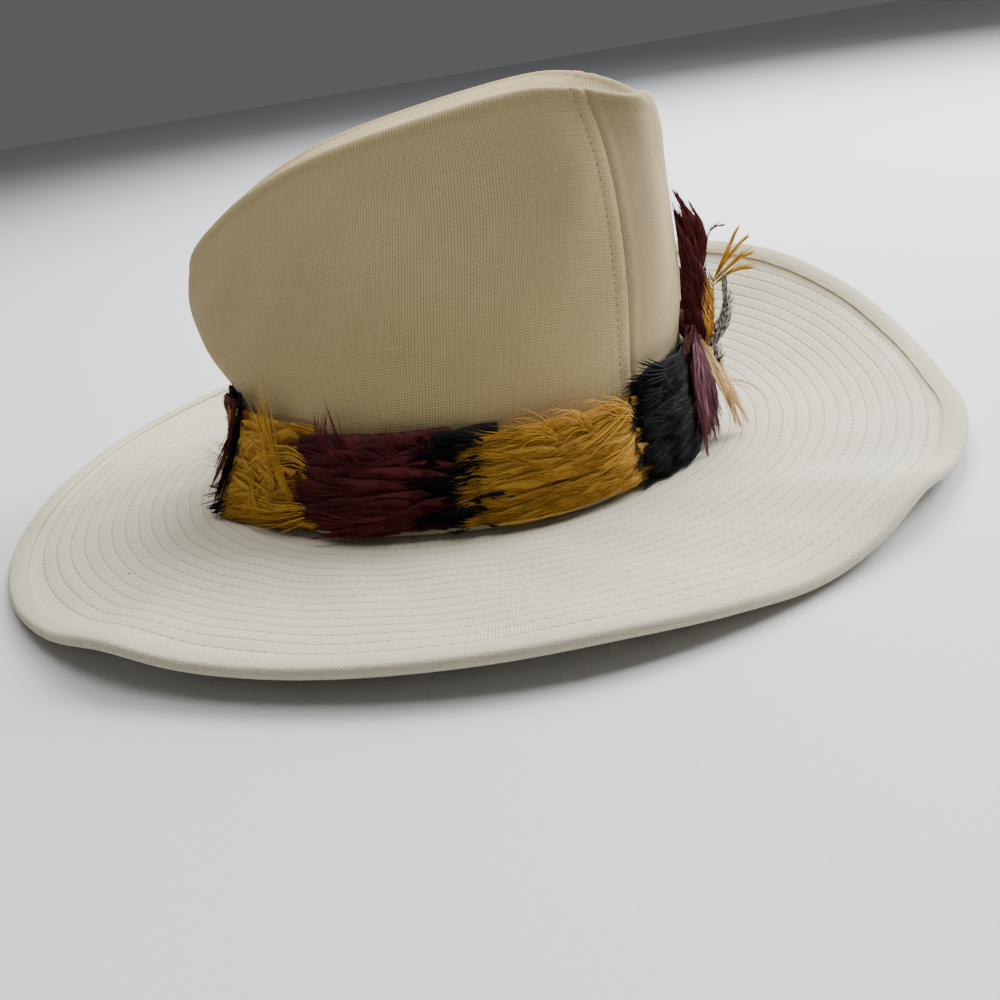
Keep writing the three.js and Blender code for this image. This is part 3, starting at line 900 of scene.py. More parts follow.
class Copied:
    """One small shape, modelled once and laid along many paths."""

    def __init__(self, piece: Piece, deep: float, grain: float) -> None:
        """Reads the shape and removes it.

        Args:
            piece: A round shape along Z.
            deep: Its depth as a share of its width.
            grain: How far its streaks run back from its middle, or 0 for a plain strand.
        """
        local, self.faces = taken(piece)
        levels = np.unique(np.round(local[:, 2], 4))
        self.ring = np.searchsorted(levels, np.round(local[:, 2], 4))
        self.rings = len(levels)
        turn = np.arctan2(local[:, 1], local[:, 0])
        off_axis = np.hypot(local[:, 0], local[:, 1]) > 1e-5
        self.across = np.where(off_axis, np.cos(turn), 0.0)
        self.depth = np.where(off_axis, np.sin(turn), 0.0) * deep
        self.grain = grain

    @classmethod
    def barb(cls, rings: int) -> "Copied":
        """A three-sided spike.

        Args:
            rings: Rings from root to tip, the tip counted.

        Returns:
            The barb.
        """
        Workshop.clear()
        bpy.ops.mesh.primitive_cone_add(vertices=3, radius1=1.0, radius2=0.0, depth=1.0, location=(0, 0, 0.5))
        piece = bpy.context.object
        bpy.ops.object.mode_set(mode="EDIT")
        for cut in range(1, rings - 1):
            bpy.ops.mesh.select_all(action="SELECT")
            bpy.ops.mesh.bisect(plane_co=(0, 0, cut / (rings - 1)), plane_no=(0, 0, 1))
        bpy.ops.object.mode_set(mode="OBJECT")
        bpy.ops.object.transform_apply(location=True)
        return cls(piece, 0.45, 0.0)

    @classmethod
    def vane(cls) -> "Copied":
        """The flat body of a feather."""
        Workshop.clear()
        bpy.ops.mesh.primitive_uv_sphere_add(segments=8, ring_count=6, radius=1.0)
        return cls(bpy.context.object, 0.035, 2.2)

    def lay(self, paths: Array, facing: Array, widths: Array, tones: Array, lanes: Array) -> Made:
        """Copies the shape along paths.

        Args:
            paths: Copies by rings by 3, in millimetres.
            facing: The direction that the flat side faces, one for all or one for each ring.
            widths: Half width at each ring.
            tones: Tone at each ring.
            lanes: The streak that each copy starts at.

        Returns:
            The copies.
        """
        along = unit(np.gradient(paths, axis=1))
        side = unit(np.cross(facing, along))
        flat = unit(np.cross(along, side))
        at, wide = paths[:, self.ring], widths[:, self.ring]
        points = at + side[:, self.ring] * (wide * self.across)[..., None]
        points = points + flat[:, self.ring] * (wide * self.depth)[..., None]
        lane = np.broadcast_to(lanes[:, None], points.shape[:2]).copy()
        if self.grain:
            run = np.cumsum(np.linalg.norm(np.diff(paths, axis=1, prepend=paths[:, :1]), axis=-1), axis=1)
            lane += run[:, self.ring] - self.grain * np.abs(self.across) * wide
        faces = repeated(self.faces, *points.shape[:2])
        return Made(points.reshape(-1, 3), faces, tones[:, self.ring].ravel(), lane.ravel())


def curl_path(length: Array, heading: Array, curl: Array, t: Array) -> tuple[Array, Array]:
    """A path that turns evenly as it goes.

    Args:
        length: Its length.
        heading: Its first direction, in radians.
        curl: How far it turns in all, in radians.
        t: Shares of its length.

    Returns:
        How far it has gone along and up.
    """
    bend = np.where(np.abs(curl) < 1e-3, 1e-3, curl)
    along = length / bend * (np.sin(heading + bend * t) - np.sin(heading))
    up = -length / bend * (np.cos(heading + bend * t) - np.cos(heading))
    return along, up


def through(stops: Array, shares: Array) -> Array:
    """Places along a smooth route.

    Args:
        stops: The places that the route passes through.
        shares: Shares of its length.

    Returns:
        The places.
    """
    before = 2 * stops[:1] - stops[1:2]
    after = 2 * stops[-1:] - stops[-2:-1]
    held = np.concatenate([before, stops, after])
    i = np.clip(np.floor(shares * (len(stops) - 1)).astype(int), 0, len(stops) - 2)
    t = (shares * (len(stops) - 1) - i)[..., None]
    a, b, c, d = held[i], held[i + 1], held[i + 2], held[i + 3]
    return 0.5 * (2 * b + (c - a) * t + (2 * a - 5 * b + 4 * c - d) * t**2 + (3 * b - a - 3 * c + d) * t**3)


# Crown


@dataclass
class Crown:
    """The three linen panels of the crown, with their seams and topstitching.

    Each row of seam_roll is a hump beside a seam: its rise, its distance from the seam and its reach.
    Each row of swells is a wave of the cloth: its rise, its turns round and up, and its start.
    """

    shape: HatShape
    cloth: float = 2.0
    seam: float = 39.5
    side_grid: tuple[int, int] = (170, 110)
    front_grid: tuple[int, int] = (90, 110)
    stitch_from_seam: float = 5.0
    stitch: float = 1.3
    stitch_pitch: float = 2.6
    stitch_half_width: float = 0.24
    stitch_half_depth: float = 0.2
    stitched: Pair = (0.12, 0.93)
    seam_roll: tuple[Triple, ...] = ((-0.30, 0.0, 0.8), (0.12, 2.6, 1.6), (-0.12, 5.0, 0.8))
    swells: tuple[tuple[float, float, float, float], ...] = ((0.5, 5, 9, 0.0), (0.35, 11, -14, 1.3))
    lip: float = 2.6
    lip_span: Pair = (-7, 14)
    far_dip: float = 2.2
    far_dip_span: Pair = (24, 10)
    corner_span: Pair = (3, 20)
    corner_share: Pair = (0.835, 0.05)
    corner_in: float = 1.5
    corner_down: float = 3.2
    map_height: float = 165
    # The crown's panels are the brim's linen, painted darker and warmer as shade on the wall; the front panel
    # is painted darker still as shade.
    sides: LinenFinish = LinenFinish("linen_side", (0.665, 0.530, 0.290))
    front: LinenFinish = LinenFinish("linen_front", (0.560, 0.455, 0.265), turn=45.0)
    # The topstitching's dark brown is painted shade in the stitch holes.
    thread: PlainFinish = PlainFinish("linen_thread_painted_hole_shade", (0.30, 0.235, 0.15))

    def surface(self, angle: Array, share: Array, low: float, high: float) -> Array:
        """The panel's outside, rolled in at its seams and gently uneven.

        Args:
            angle: Degrees round the crown.
            share: Shares up the wall.
            low: The panel's first seam.
            high: Its last seam.

        Returns:
            The places.
        """
        point = self.shape.wall(angle, share)
        out = self.shape.wall_out(angle, np.minimum(share, 0.97))
        rolled = np.zeros_like(angle)
        for seam in (low, high):
            away = np.linalg.norm(point - self.shape.wall(np.full_like(angle, seam), share), axis=-1)
            for rise, off_seam, reach in self.seam_roll:
                rolled += rise * hump(away, off_seam, reach)
        turn = np.radians(angle)
        waves = sum(
            rise * np.sin(about * turn + up * share + start) for rise, about, up, start in self.swells
        )
        rolled = rolled + waves * smooth(share, 0.1, 0.35) * (1 - smooth(share, 0.66, 0.78))
        calm = 1 - smooth(share, self.shape.ridge_share, 0.99)
        near = np.mod(angle + 180, 360) - 180
        lip = self.lip * hump(near, *self.lip_span, 4)
        far_dip = -self.far_dip * hump(near, *self.far_dip_span) * smooth(share, 0.7, 0.85) * calm
        corner = hump(near, *self.corner_span, 4) * hump(share, *self.corner_share)
        point = point + out * (rolled * calm - self.corner_in * corner)[..., None]
        point[..., 2] += lip * smooth(share, 0.84, 0.92) * (1 - smooth(share, self.shape.ridge_share, 1.0))
        point[..., 2] += far_dip - self.corner_down * corner
        return point

    def panel(self, name: str, low: float, high: float, grid: tuple[int, int], closed: bool) -> Piece:
        """Makes one panel.

        Args:
            name: The piece's name.
            low: First angle.
            high: Last angle.
            grid: Faces along and up.
            closed: Whether its edges meet along the top crease.

        Returns:
            The panel.
        """

        def place(s: Array, t: Array) -> Array:
            """Places on the panel."""
            return self.surface(low + (high - low) * s, t, low, high)

        def cloth_map(s: Array, t: Array) -> Array:
            """Millimetres along and up."""
            spread = 1 - 0.25 * t
            return np.stack([(s - 0.5) * (high - low) * ROUND_MM * spread, t * self.map_height], -1)

        return Workshop.cloth(name, grid, place, cloth_map, self.cloth, closed)

    def build(self) -> dict[str, Piece]:
        """Makes the panels, by the nodes that they take the place of."""
        clear, back, seam, sides = 0.03, 0.1, self.seam, self.side_grid
        rows = (
            ("crown_front", "front_panel", -seam + clear, seam - clear, self.front_grid, True),
            ("crown_side_far", "far_side_panel", seam + clear, 180 - back, sides, False),
            ("crown_side_near", "near_side_panel", 180 + back, 360 - seam - clear, sides, False),
        )
        return {node: self.panel(*row) for node, *row in rows}

    def stitches(self) -> Piece:
        """Makes the topstitching beside the seams, as one piece."""
        Workshop.clear()
        bpy.ops.mesh.primitive_uv_sphere_add(segments=6, ring_count=5, radius=1.0)
        local, faces = taken(bpy.context.object)
        points = []
        shares = np.linspace(*self.stitched, 400)
        for seam, sign in ((seam, sign) for seam in (-self.seam, self.seam, 180) for sign in (1, -1)):
            line = self.shape.wall(np.full_like(shares, seam), shares)
            nearby = self.shape.wall(np.full_like(shares, seam + sign), shares)
            scale = self.stitch_from_seam / np.linalg.norm(nearby - line, axis=-1)
            angles = seam + sign * scale
            out = self.shape.wall_out(angles, shares)
            front = abs(seam) < 90 and sign * seam < 0
            row = self.surface(angles, shares, seam, seam + 180) + (0.06 if front else 0.2) * out
            run = np.concatenate([[0], np.cumsum(np.linalg.norm(np.diff(row, axis=0), axis=-1))])
            for at in np.arange(2, run[-1], self.stitch_pitch):
                middle = np.array([np.interp(at, run, row[:, k]) for k in range(3)])
                ahead = np.array([np.interp(at + 1, run, row[:, k]) for k in range(3)])
                normal = unit(np.array([np.interp(at, run, out[:, k]) for k in range(3)]))
                along = unit(ahead - middle)
                side = np.cross(normal, along) * self.stitch_half_width
                deep = normal * self.stitch_half_depth
                points.append(middle - deep + local @ np.stack([along * self.stitch / 2, side, deep]))
        made = np.concatenate(points)
        plain = np.zeros(len(made))
        stitches = Made(made, repeated(faces, len(points), len(local)), plain, plain)
        return Workshop.from_copies("crown_topstitching", [stitches])

    def dress(self) -> None:
        """Builds and finishes the crown."""
        side, front = self.sides.material(), self.front.material()
        for node, piece in self.build().items():
            finish, slot = (front, "linen_front") if node == "crown_front" else (side, "linen_side")
            Workshop.dress(piece, finish, slot, node)
        Workshop.dress(self.stitches(), self.thread.material(), "linen_side")


# Brim


@dataclass
class Brim:
    """The brim with its rows of stitching, and the folded strip round its edge.

    Each row of swells is a wave of the cloth: its rise, its waves round, its run outward and its start.
    """

    shape: HatShape
    columns: int = 400
    inner: float = 2.0
    binding: float = 8.0
    binding_cloth: float = 0.9
    across_sheet: int = 72
    across_strip: int = 26
    map_round: float = 860.0
    strip_map: Pair = (1140.0, 21.0)
    sunk: float = 0.07
    raised: float = 0.6
    swells: tuple[tuple[float, float, float, float], ...] = ((0.35, 9, 14, 0), (0.25, 23, -9, 2))
    cloth: LinenFinish = LinenFinish(
        "linen_brim", (0.815, 0.785, 0.655), stitch_rows=5.2, rows_from=4.0, rows_to=88.0,
        spots=(
            (535, 60, 1.1), (468, 54, 0.7), (578, 50, 0.7), (487, 74, 0.7), (764, 6, 0.8),
            (727, 18, 0.7),
        ),
    )
    edge: LinenFinish = LinenFinish("linen_binding", (0.780, 0.730, 0.575), turn=40.0)

    def sheet(self) -> Piece:
        """Makes the brim, closed into a ring."""
        top = self.shape.brim_cloth / 2

        def reach(angle: Array, t: Array) -> Array:
            """Millimetres out from the crown."""
            width = self.shape.width(np.mod(angle, 360))
            return -self.inner + t * (width - self.binding_cloth - 0.3 + self.inner)

        def place(s: Array, t: Array) -> Array:
            """Places on the brim's top."""
            angle = 360 * s
            out = reach(angle, t)
            pitch = self.cloth.stitch_rows
            row = np.mod(out - self.cloth.rows_from, pitch) - pitch / 2
            sunk = self.sunk * np.exp(-(row**2)) * smooth(out, 3, 5) * (1 - smooth(out, 84, 88))
            turn = np.radians(angle)
            uneven = self.raised
            for rise, waves, run, start in self.swells:
                uneven = uneven + rise * np.sin(waves * turn + out / run + start)
            calm = smooth(out, 8, 30) * (1 - smooth(out, 78, 87))
            return self.shape.brim(angle, out, top - sunk + uneven * calm)

        def cloth_map(s: Array, t: Array) -> Array:
            """Millimetres round and out."""
            return np.stack([s * self.map_round, reach(360 * s, t)], -1)

        grid = (self.columns, self.across_sheet)
        return Workshop.cloth("brim_cloth", grid, place, cloth_map, self.shape.brim_cloth, True, True)

    def strip(self) -> Piece:
        """Makes the folded strip that binds the edge."""
        low = self.shape.brim_cloth / 2 + 0.15
        high = low + self.binding_cloth

        def place(s: Array, t: Array) -> Array:
            """Places on the strip's outside, from the top over the edge to below."""
            angle = 360 * s
            width = self.shape.width(np.mod(angle, 360))
            flat = self.binding - high
            run = 2 * flat + math.pi * high
            at = t * run
            turn = np.clip((at - flat) / high, 0, math.pi)
            under = np.maximum(at - flat - math.pi * high, 0)
            out = width - self.binding + np.minimum(at, flat) + high * np.sin(turn) - under
            rise = high * np.cos(turn)
            puffed = 0.35 * np.sin(np.pi * np.clip(at / flat, 0, 1)) * (t < 0.5)
            pull = 0.12 * np.sin(np.radians(angle) * 70)
            return self.shape.brim(angle, out, rise + puffed + pull * (np.abs(at - 1.6) < 1.2))

        def cloth_map(s: Array, t: Array) -> Array:
            """Millimetres round and over."""
            return np.stack([s * self.strip_map[0], t * self.strip_map[1]], -1)

        grid = (self.columns, self.across_strip)
        return Workshop.cloth("edge_strip", grid, place, cloth_map, self.binding_cloth, True, True)

    def dress(self) -> None:
        """Builds and finishes the brim."""
        Workshop.dress(self.sheet(), self.cloth.material(), "linen_brim", "brim")
        Workshop.dress(self.strip(), self.edge.material(), "linen_binding", "brim_binding")


# Feathers


@dataclass(frozen=True)
class Plumage:
    """How the feathers of one bunch lie. Each row of fans has the FAN_COLUMNS."""

    node: str
    first: float
    last: float
    dye: Dye
    high: float = 40.0
    low: float = 1.0
    length: float = 25.0
    half: float = 4.0
    spread: float = 19.0
    curl: float = 0.12
    lift: float = 0.9
    wander: float = 5.0
    pitch: float = 5.6
    tone: Pair = (0.35, 0.62)
    fans: tuple[tuple[float, ...], ...] = ()
    seed: int = 1


FAN_COLUMNS = ("angle", "height", "heading", "length", "curl", "count", "splay", "width", "rise", "tone")
TOP_WISPS = (0.25, 0.5, 0.75, 0.95)
TOP_WISP = (30, 11, 30, 7, 22, 0.16, 1.0, 0.6)
TAPER_AT = (0, 0.3, 0.7, 1)


@dataclass
class FeatherBand:
    """The tape round the crown and the bunches of feathers sewn to it."""

    shape: HatShape
    bunches: tuple[Plumage, ...] = (
        Plumage(
            "feathers_black_front", 346, 322, Dye.BLACK, 41, seed=11, curl=-0.08, lift=1.1, tone=(0.2, 0.6),
            fans=(
                (327, 37, 12, 16, 8, 22, 12, 0.40, 1.5, 0.4),
                (325, 30, 6, 14, 4, 16, 10, 0.34, 1.0, 0.4),
                (324, 20, 0, 9, 0, 14, 16, 0.28, 0.6, 0.4),
                (323, 8, -8, 9, 0, 14, 18, 0.28, 0.4, 0.4),
            ),
        ),
        Plumage(
            "feathers_mustard_near", 322, 284, Dye.MUSTARD, 31, low=3.6, seed=12, curl=0.1, wander=4,
            fans=(
                (295, 28, 58, 22, -90, 16, 18, 0.18, 0.6, 0.7),
                (303, 28, 66, 23, -118, 16, 20, 0.18, 0.6, 0.75),
                (311, 28, 60, 24, -105, 16, 18, 0.18, 0.6, 0.7),
                (315, 27, 52, 25, -90, 16, 16, 0.18, 0.6, 0.7),
                (314, 30, -24, 30, 8, 8, 4, 0.22, 2.6, 1.0),
                (314, 20, -26, 24, 20, 6, 5, 0.20, 2.4, 1.0),
                (290, 32, 20, 13, -10, 9, 12, 0.16, 0.8, 0.6),
            ),
        ),
        Plumage(
            "feathers_black_near", 284, 275, Dye.BLACK, 34.5, low=3.2, seed=13, length=21, tone=(0.2, 0.6),
            fans=(
                (275, 30, 12, 13, -6, 16, 15, 0.30, 0.8, 0.4),
                (279, 31, 18, 15, -18, 16, 12, 0.28, 0.8, 0.4),
                (276, 4, -38, 8, 20, 6, 16, 0.26, 1.6, 0.4),
                (280, 4, -140, 8, 40, 5, 12, 0.26, 1.6, 0.4),
            ),
        ),
        Plumage(
            "feathers_burgundy_near", 275, 245, Dye.BURGUNDY, 35, low=3.2, seed=14, wander=7, length=23,
            curl=0.18,
            fans=(
                (252.5, 28, 34, 21, 70, 26, 10, 0.28, 1.2, 0.55),
                (256, 28, 54, 27, 16, 5, 2, 0.34, 0.8, 0.3),
                (259, 30, 44, 13, 28, 12, 16, 0.20, 0.8, 0.6),
                (265, 30, 40, 13, 40, 14, 24, 0.18, 0.8, 0.7),
                (271, 30, 36, 11, 40, 10, 20, 0.18, 0.8, 0.7),
                (252, 20, 4, 15, 12, 18, 16, 0.26, 1.6, 0.5),
                (254, 8, -14, 15, 30, 18, 14, 0.26, 1.8, 0.75),
                (262, 9, -20, 18, 30, 14, 12, 0.24, 1.8, 0.8),
            ),
        ),
        Plumage(
            "feathers_mustard_back", 245, 212, Dye.MUSTARD, 38, seed=15, curl=0.5, wander=12, lift=1.4,
            spread=15, length=28, tone=(0.4, 0.75),
            fans=(
                (238, 14, 64, 42, 12, 26, 7, 0.30, 1.6, 0.75),
                (234, 20, 72, 32, -14, 18, 9, 0.26, 2.2, 0.85),
                (243, 26, 26, 30, -64, 22, 12, 0.26, 2.0, 0.7),
                (242, 10, -14, 34, 14, 24, 10, 0.28, 2.4, 0.8),
                (232, 15, 150, 20, -190, 12, 18, 0.24, 3.0, 0.9),
                (226, 24, -70, 26, -70, 14, 10, 0.24, 3.0, 0.85),
                (209, 22, 18, 9, 10, 6, 12, 0.24, 9.0, 0.95),
                (208, 42, 6, 13, 6, 1, 2, 0.14, 11.0, 1.0),
            ),
        ),
        Plumage("feathers_burgundy_back", 212, 195, Dye.BURGUNDY, 40, seed=16, wander=8, fans=(
            (215, 43, -74, 46, 8, 26, 6, 0.36, 4.0, 0.5),
            (207, 15, 14, 14, 24, 9, 20, 0.22, 10.0, 0.7),
            (210, 9, -4, 12, -24, 6, 14, 0.22, 9.0, 0.6),
        )),
        Plumage("feathers_black_back", 195, 177, Dye.BLACK, 39, seed=17, tone=(0.2, 0.6), fans=(
            (219, 46, -74, 52, -8, 40, 4, 0.40, 3.2, 0.4),
            (214, 6, -30, 14, -10, 12, 10, 0.34, 9.0, 0.4),
        )),
        Plumage("feathers_mustard_far", 177, 141, Dye.MUSTARD, 40, seed=18),
        Plumage("feathers_burgundy_far", 141, 111, Dye.BURGUNDY, 40, seed=19, wander=7),
        Plumage("feathers_black_far", 111, 96, Dye.BLACK, 39, seed=20, tone=(0.2, 0.6)),
        Plumage("feathers_mustard_side", 96, 60, Dye.MUSTARD, 40, seed=21),
        Plumage("feathers_burgundy_front", 60, -14, Dye.BURGUNDY, 42, seed=22, wander=7, pitch=6.6),
    )
    barbs_a_side: int = 15
    vane_widths: tuple[float, ...] = (0.50, 0.86, 1.0, 0.94, 0.76, 0.44, 0.0)
    strand_taper: tuple[float, ...] = (0.7, 1.0, 0.65, 0.0)
    barb_taper: tuple[float, ...] = (0.8, 1.0, 0.6, 0.0)
    shortest: float = 7.0
    tape_from: float = 0.6
    tape_high: float = 30.4
    tape_round: float = 572.0
    tape_off: float = 1.65
    hem_off: float = 3.0
    hem_between: tuple[float, float, float, float] = (232, 246, 300, 318)
    tape: LinenFinish = LinenFinish("tape_cream", (0.80, 0.74, 0.60), thread=0.5)

    def __post_init__(self) -> None:
        """Measures the band's solids and shapes the barb and the vane."""
        names = [bunch.node for bunch in self.bunches] + ["band_tape"]
        self.surface = BandSurface(self.shape, [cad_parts[name] for name in names])
        self.barb, self.strand, self.vane = Copied.barb(5), Copied.barb(8), Copied.vane()

    def feathers(self, bunch: Plumage, rng: Random) -> dict[str, Array]:
        """Lays out the feathers of a bunch.

        Args:
            bunch: The bunch.
            rng: Its own random numbers.

        Returns:
            Each feather's root, length, heading, curl, lift, tone, half width and lane, by name.
        """
        run = (bunch.first - bunch.last) * ROUND_MM
        along, height = [], []
        for column, s in enumerate(np.arange(0.5, run - 4.0, bunch.pitch)):
            rows = np.arange(bunch.low + 2.6 + (column % 2) * bunch.pitch / 2, bunch.high - 2, bunch.pitch)
            along.extend([s] * len(rows))
            height.extend(rows)
        s0 = np.array(along) + rng.normal(0, 1.3, len(along))
        h0 = np.array(height) + rng.normal(0, 1.0, len(height))
        count = len(s0)
        left = run + 7 - s0
        length = np.minimum(bunch.length * rng.uniform(0.85, 1.1, count), left + rng.uniform(-2, 4, count))
        top = h0 > bunch.high - 9
        edge = (h0 - bunch.high / 2) / (bunch.high / 2)
        heading = np.radians(rng.normal(0, bunch.wander, count) + 4 * edge)
        curl = rng.normal(0.0, 0.14, count) + bunch.curl * rng.choice([-1, 1, 1], count)
        made = {
            "s": s0,
            "h": h0,
            "length": length,
            "heading": np.where(top, np.minimum(heading, 0.08), heading),
            "curl": np.where(top, -np.abs(curl), curl),
            "lift": bunch.lift * rng.uniform(0.75, 1.3, count),
            "tone": rng.uniform(*bunch.tone, count),
            "half": bunch.half * rng.uniform(0.85, 1.15, count) * np.clip(length / bunch.length, 0.4, 1),
            "lane": rng.uniform(0, LANES, count),
            "bend": rng.normal(0, 0.12, count),
        }
        return {name: value[length > self.shortest] for name, value in made.items()}

    def placed(self, bunch: Plumage, s: Array, h: Array, extra: Array) -> tuple[Array, Array]:
        """Places over a bunch, kept above its lower edge.

        Args:
            bunch: The bunch.
            s: Millimetres along from its first feathers.
            h: Millimetres above the brim.
            extra: Millimetres off the band's solids.

        Returns:
            The places and their outward directions.
        """
        under = np.minimum(h - bunch.low, 0)
        height = np.maximum(h, bunch.low + 0.05 * under)
        return self.surface.at(bunch.first - s / ROUND_MM, height, extra - 0.4 * under)

    def vanes(self, bunch: Plumage, given: dict[str, Array]) -> Made:
        """Makes the flat bodies of a bunch's feathers."""
        u = np.linspace(0, 1, self.vane.rings)[None]
        one = {name: value[:, None] for name, value in given.items()}
        ds, dh = curl_path(one["length"], one["heading"], one["curl"], u)
        points, out = self.placed(bunch, one["s"] + ds, one["h"] + dh, 0.1 + one["lift"] * (0.1 + 0.9 * u))
        tones = one["tone"] + 0.12 * (u - 0.5)
        widths = one["half"] * np.array(self.vane_widths)[None]
        return self.vane.lay(points, out, widths, tones, given["lane"])

    def barbs(self, bunch: Plumage, given: dict[str, Array], rng: Random) -> Made:
        """Grows the barbs that fray a bunch's feathers.

        Args:
            bunch: The bunch.
            given: Its feathers.
            rng: Its own random numbers.

        Returns:
            The barbs.
        """
        n, m = len(given["s"]), self.barbs_a_side
        rings = np.linspace(0, 1, self.barb.rings)
        one = {name: value[:, None] for name, value in given.items()}
        side = np.repeat([1.0, -1.0], m)
        t = np.clip(np.tile(np.linspace(0.12, 1.0, m), 2)[None] + rng.normal(0, 0.015, (n, 2 * m)), 0.05, 1.0)
        root_s, root_h = curl_path(one["length"], one["heading"], one["curl"], t)
        lean = np.radians(bunch.spread) * (1.1 - 0.6 * t) * rng.uniform(0.85, 1.15, t.shape)
        wide = one["half"] * np.interp(t, np.linspace(0, 1, len(self.vane_widths)), self.vane_widths)
        size = (wide + rng.uniform(0.4, 2.2, t.shape)) / np.sin(lean)
        size = np.clip(size, 3.0, one["length"] * (1 - t) * 0.8 + rng.uniform(4, 7, t.shape))
        bend = -side * lean * rng.uniform(0.5, 1.0, t.shape) + one["bend"] + rng.normal(0, 0.06, t.shape)
        first = one["heading"] + one["curl"] * t + side * lean
        ds, dh = curl_path(size[..., None], first[..., None], bend[..., None], rings)
        s, h = one["s"][..., None] + root_s[..., None] + ds, one["h"][..., None] + root_h[..., None] + dh
        risen = t[..., None] + (1 - t[..., None]) * 0.6 * rings
        extra = 0.5 + one["lift"][..., None] * (0.1 + 0.9 * risen)
        extra = extra + rings * rng.uniform(0, 0.6, t.shape)[..., None]
        flat = (n * 2 * m, self.barb.rings)
        points, out = self.placed(bunch, s.reshape(flat), h.reshape(flat), extra.reshape(flat))
        thick = rng.uniform(0.12, 0.24, (flat[0], 1)) * np.interp(rings, TAPER_AT, self.barb_taper)
        tone = np.repeat(given["tone"], 2 * m)[:, None] + rng.normal(0, 0.07, (flat[0], 1))
        tone = np.clip(tone + 0.16 * (rings - 0.4), 0, 1)
        return self.barb.lay(points, out, thick, tone, rng.uniform(0, LANES, flat[0]))

    def fans(self, bunch: Plumage, rng: Random) -> list[Made]:
        """Grows the loose strands of a bunch.

        Args:
            bunch: The bunch.
            rng: Its own random numbers.

        Returns:
            The strands of each fan.
        """
        across = bunch.first - bunch.last
        rows = bunch.fans or tuple(
            (bunch.first - across * share, bunch.high - 5, *TOP_WISP) for share in TOP_WISPS
        )
        rings = np.linspace(0, 1, self.strand.rings)
        made = []
        for row in rows:
            fan = dict(zip(FAN_COLUMNS, row))
            n = int(fan["count"])
            place = np.linspace(-1, 1, n) + rng.normal(0, 0.2, n)
            heading = np.radians(fan["heading"] + fan["splay"] * place)
            size = fan["length"] * rng.uniform(0.7, 1.05, n) * (1 - 0.2 * place**2)
            curl = np.radians(fan["curl"]) * rng.uniform(0.75, 1.2, n) + rng.normal(0, 0.06, n)
            ds, dh = curl_path(size[:, None], heading[:, None], curl[:, None], rings)
            wide = min(3.2, 0.09 * n + 0.3)
            s = (bunch.first - fan["angle"]) * ROUND_MM + rng.normal(0, 0.9, n)[:, None] + ds
            h = fan["height"] + place[:, None] * wide * math.cos(math.radians(fan["heading"])) + dh
            extra = 1.2 + rng.uniform(0, 1.2, n)[:, None]
            extra = extra + fan["rise"] * rings**1.4 * rng.uniform(0.8, 1.15, n)[:, None]
            points, out = self.placed(bunch, s, h, extra)
            taper = np.interp(rings, TAPER_AT, self.strand_taper)
            widths = fan["width"] * rng.uniform(0.8, 1.15, (n, 1)) * taper
            tones = np.clip(fan["tone"] + rng.normal(0, 0.08, (n, 1)) + 0.1 * (rings - 0.5), 0, 1)
            made.append(self.strand.lay(points, out, widths, tones, rng.uniform(0, LANES, n)))
        return made

    def bunch(self, bunch: Plumage) -> Piece:
        """Makes one bunch as one piece."""
        rng = np.random.default_rng(bunch.seed)
        given = self.feathers(bunch, rng)
        foot = self.shape.brim_cloth + self.shape.gap
        parts = [Workshop.backing(bunch.node, bunch.low + foot, bunch.high + foot)]
        lowest = bunch.low + foot - 0.4
        parts += [self.vanes(bunch, given).above(lowest), self.barbs(bunch, given, rng).above(lowest)]
        parts += [fan.above(foot + 0.2) for fan in self.fans(bunch, rng)]
        return Workshop.from_copies(bunch.node.replace("feathers", "plumes"), parts)

    def tape_ring(self) -> Piece:
        """Makes the tape, closed into a ring."""

        def place(s: Array, t: Array) -> Array:
            """Places on the tape's outside."""
            angle = 360 * s
            a = np.mod(angle, 360) / 360 * self.surface.ANGLES
            i = np.floor(a).astype(int) % self.surface.ANGLES
            k, u = (i + 1) % self.surface.ANGLES, (a - np.floor(a))[:, None]
            j = np.rint(self.tape_from + self.tape_high * t - self.surface.LOW).astype(int)
            base = self.surface.base[i, j] * (1 - u) + self.surface.base[k, j] * u
            out = unit(self.surface.out[i, j] * (1 - u) + self.surface.out[k, j] * u)
            near = smooth(angle, *self.hem_between[:2]) * (1 - smooth(angle, *self.hem_between[2:]))
            hem = self.hem_off * near * (1 - smooth(t, 0.02, 0.16))
            return base + out * (self.tape_off + hem)[:, None]

        def cloth_map(s: Array, t: Array) -> Array:
            """Millimetres round and up."""
            return np.stack([s * self.tape_round, t * self.tape_high], -1)

        return Workshop.cloth("band_tape_cloth", (360, 10), place, cloth_map, 1.0, True)

    def dress(self, finishes: dict[Dye, bpy.types.Material]) -> None:
        """Builds and finishes the band, with a finish for each dye."""
        for bunch in self.bunches:
            slot = f"feather_{bunch.dye.name.lower()}"
            Workshop.dress(self.bunch(bunch), finishes[bunch.dye], slot, bunch.node)
        Workshop.dress(self.tape_ring(), self.tape.material(), "tape", "band_tape")


@dataclass(frozen=True)
class Quill:
    """A free feather: the route of its quill, and how its barbs stand on it.

    Pairs are the values at the root and at the tip, and for each side of the quill.
    """

    route: tuple[Triple, ...]
    facing: Triple = (0.0, -1.0, 0.0)
    barbs: int = 40
    reach: Pair = (13.0, 8.0)
    spread: Pair = (38.0, 12.0)
    sides: Pair = (1.0, 1.0)
    tangle: float = 5.0
    width: float = 0.24
    shaft: float = 0.30
    vane: float = 0.0
    bands: float = 0.0
    on_band: bool = False
    tone: Pair = (0.25, 0.75)


NEAR_SIDE = (0.6, -0.8, 0.0)
FAR_SIDE = (0.7, 0.7, 0.0)
TO_VIEWER = (0.22, -0.96, 0.15)


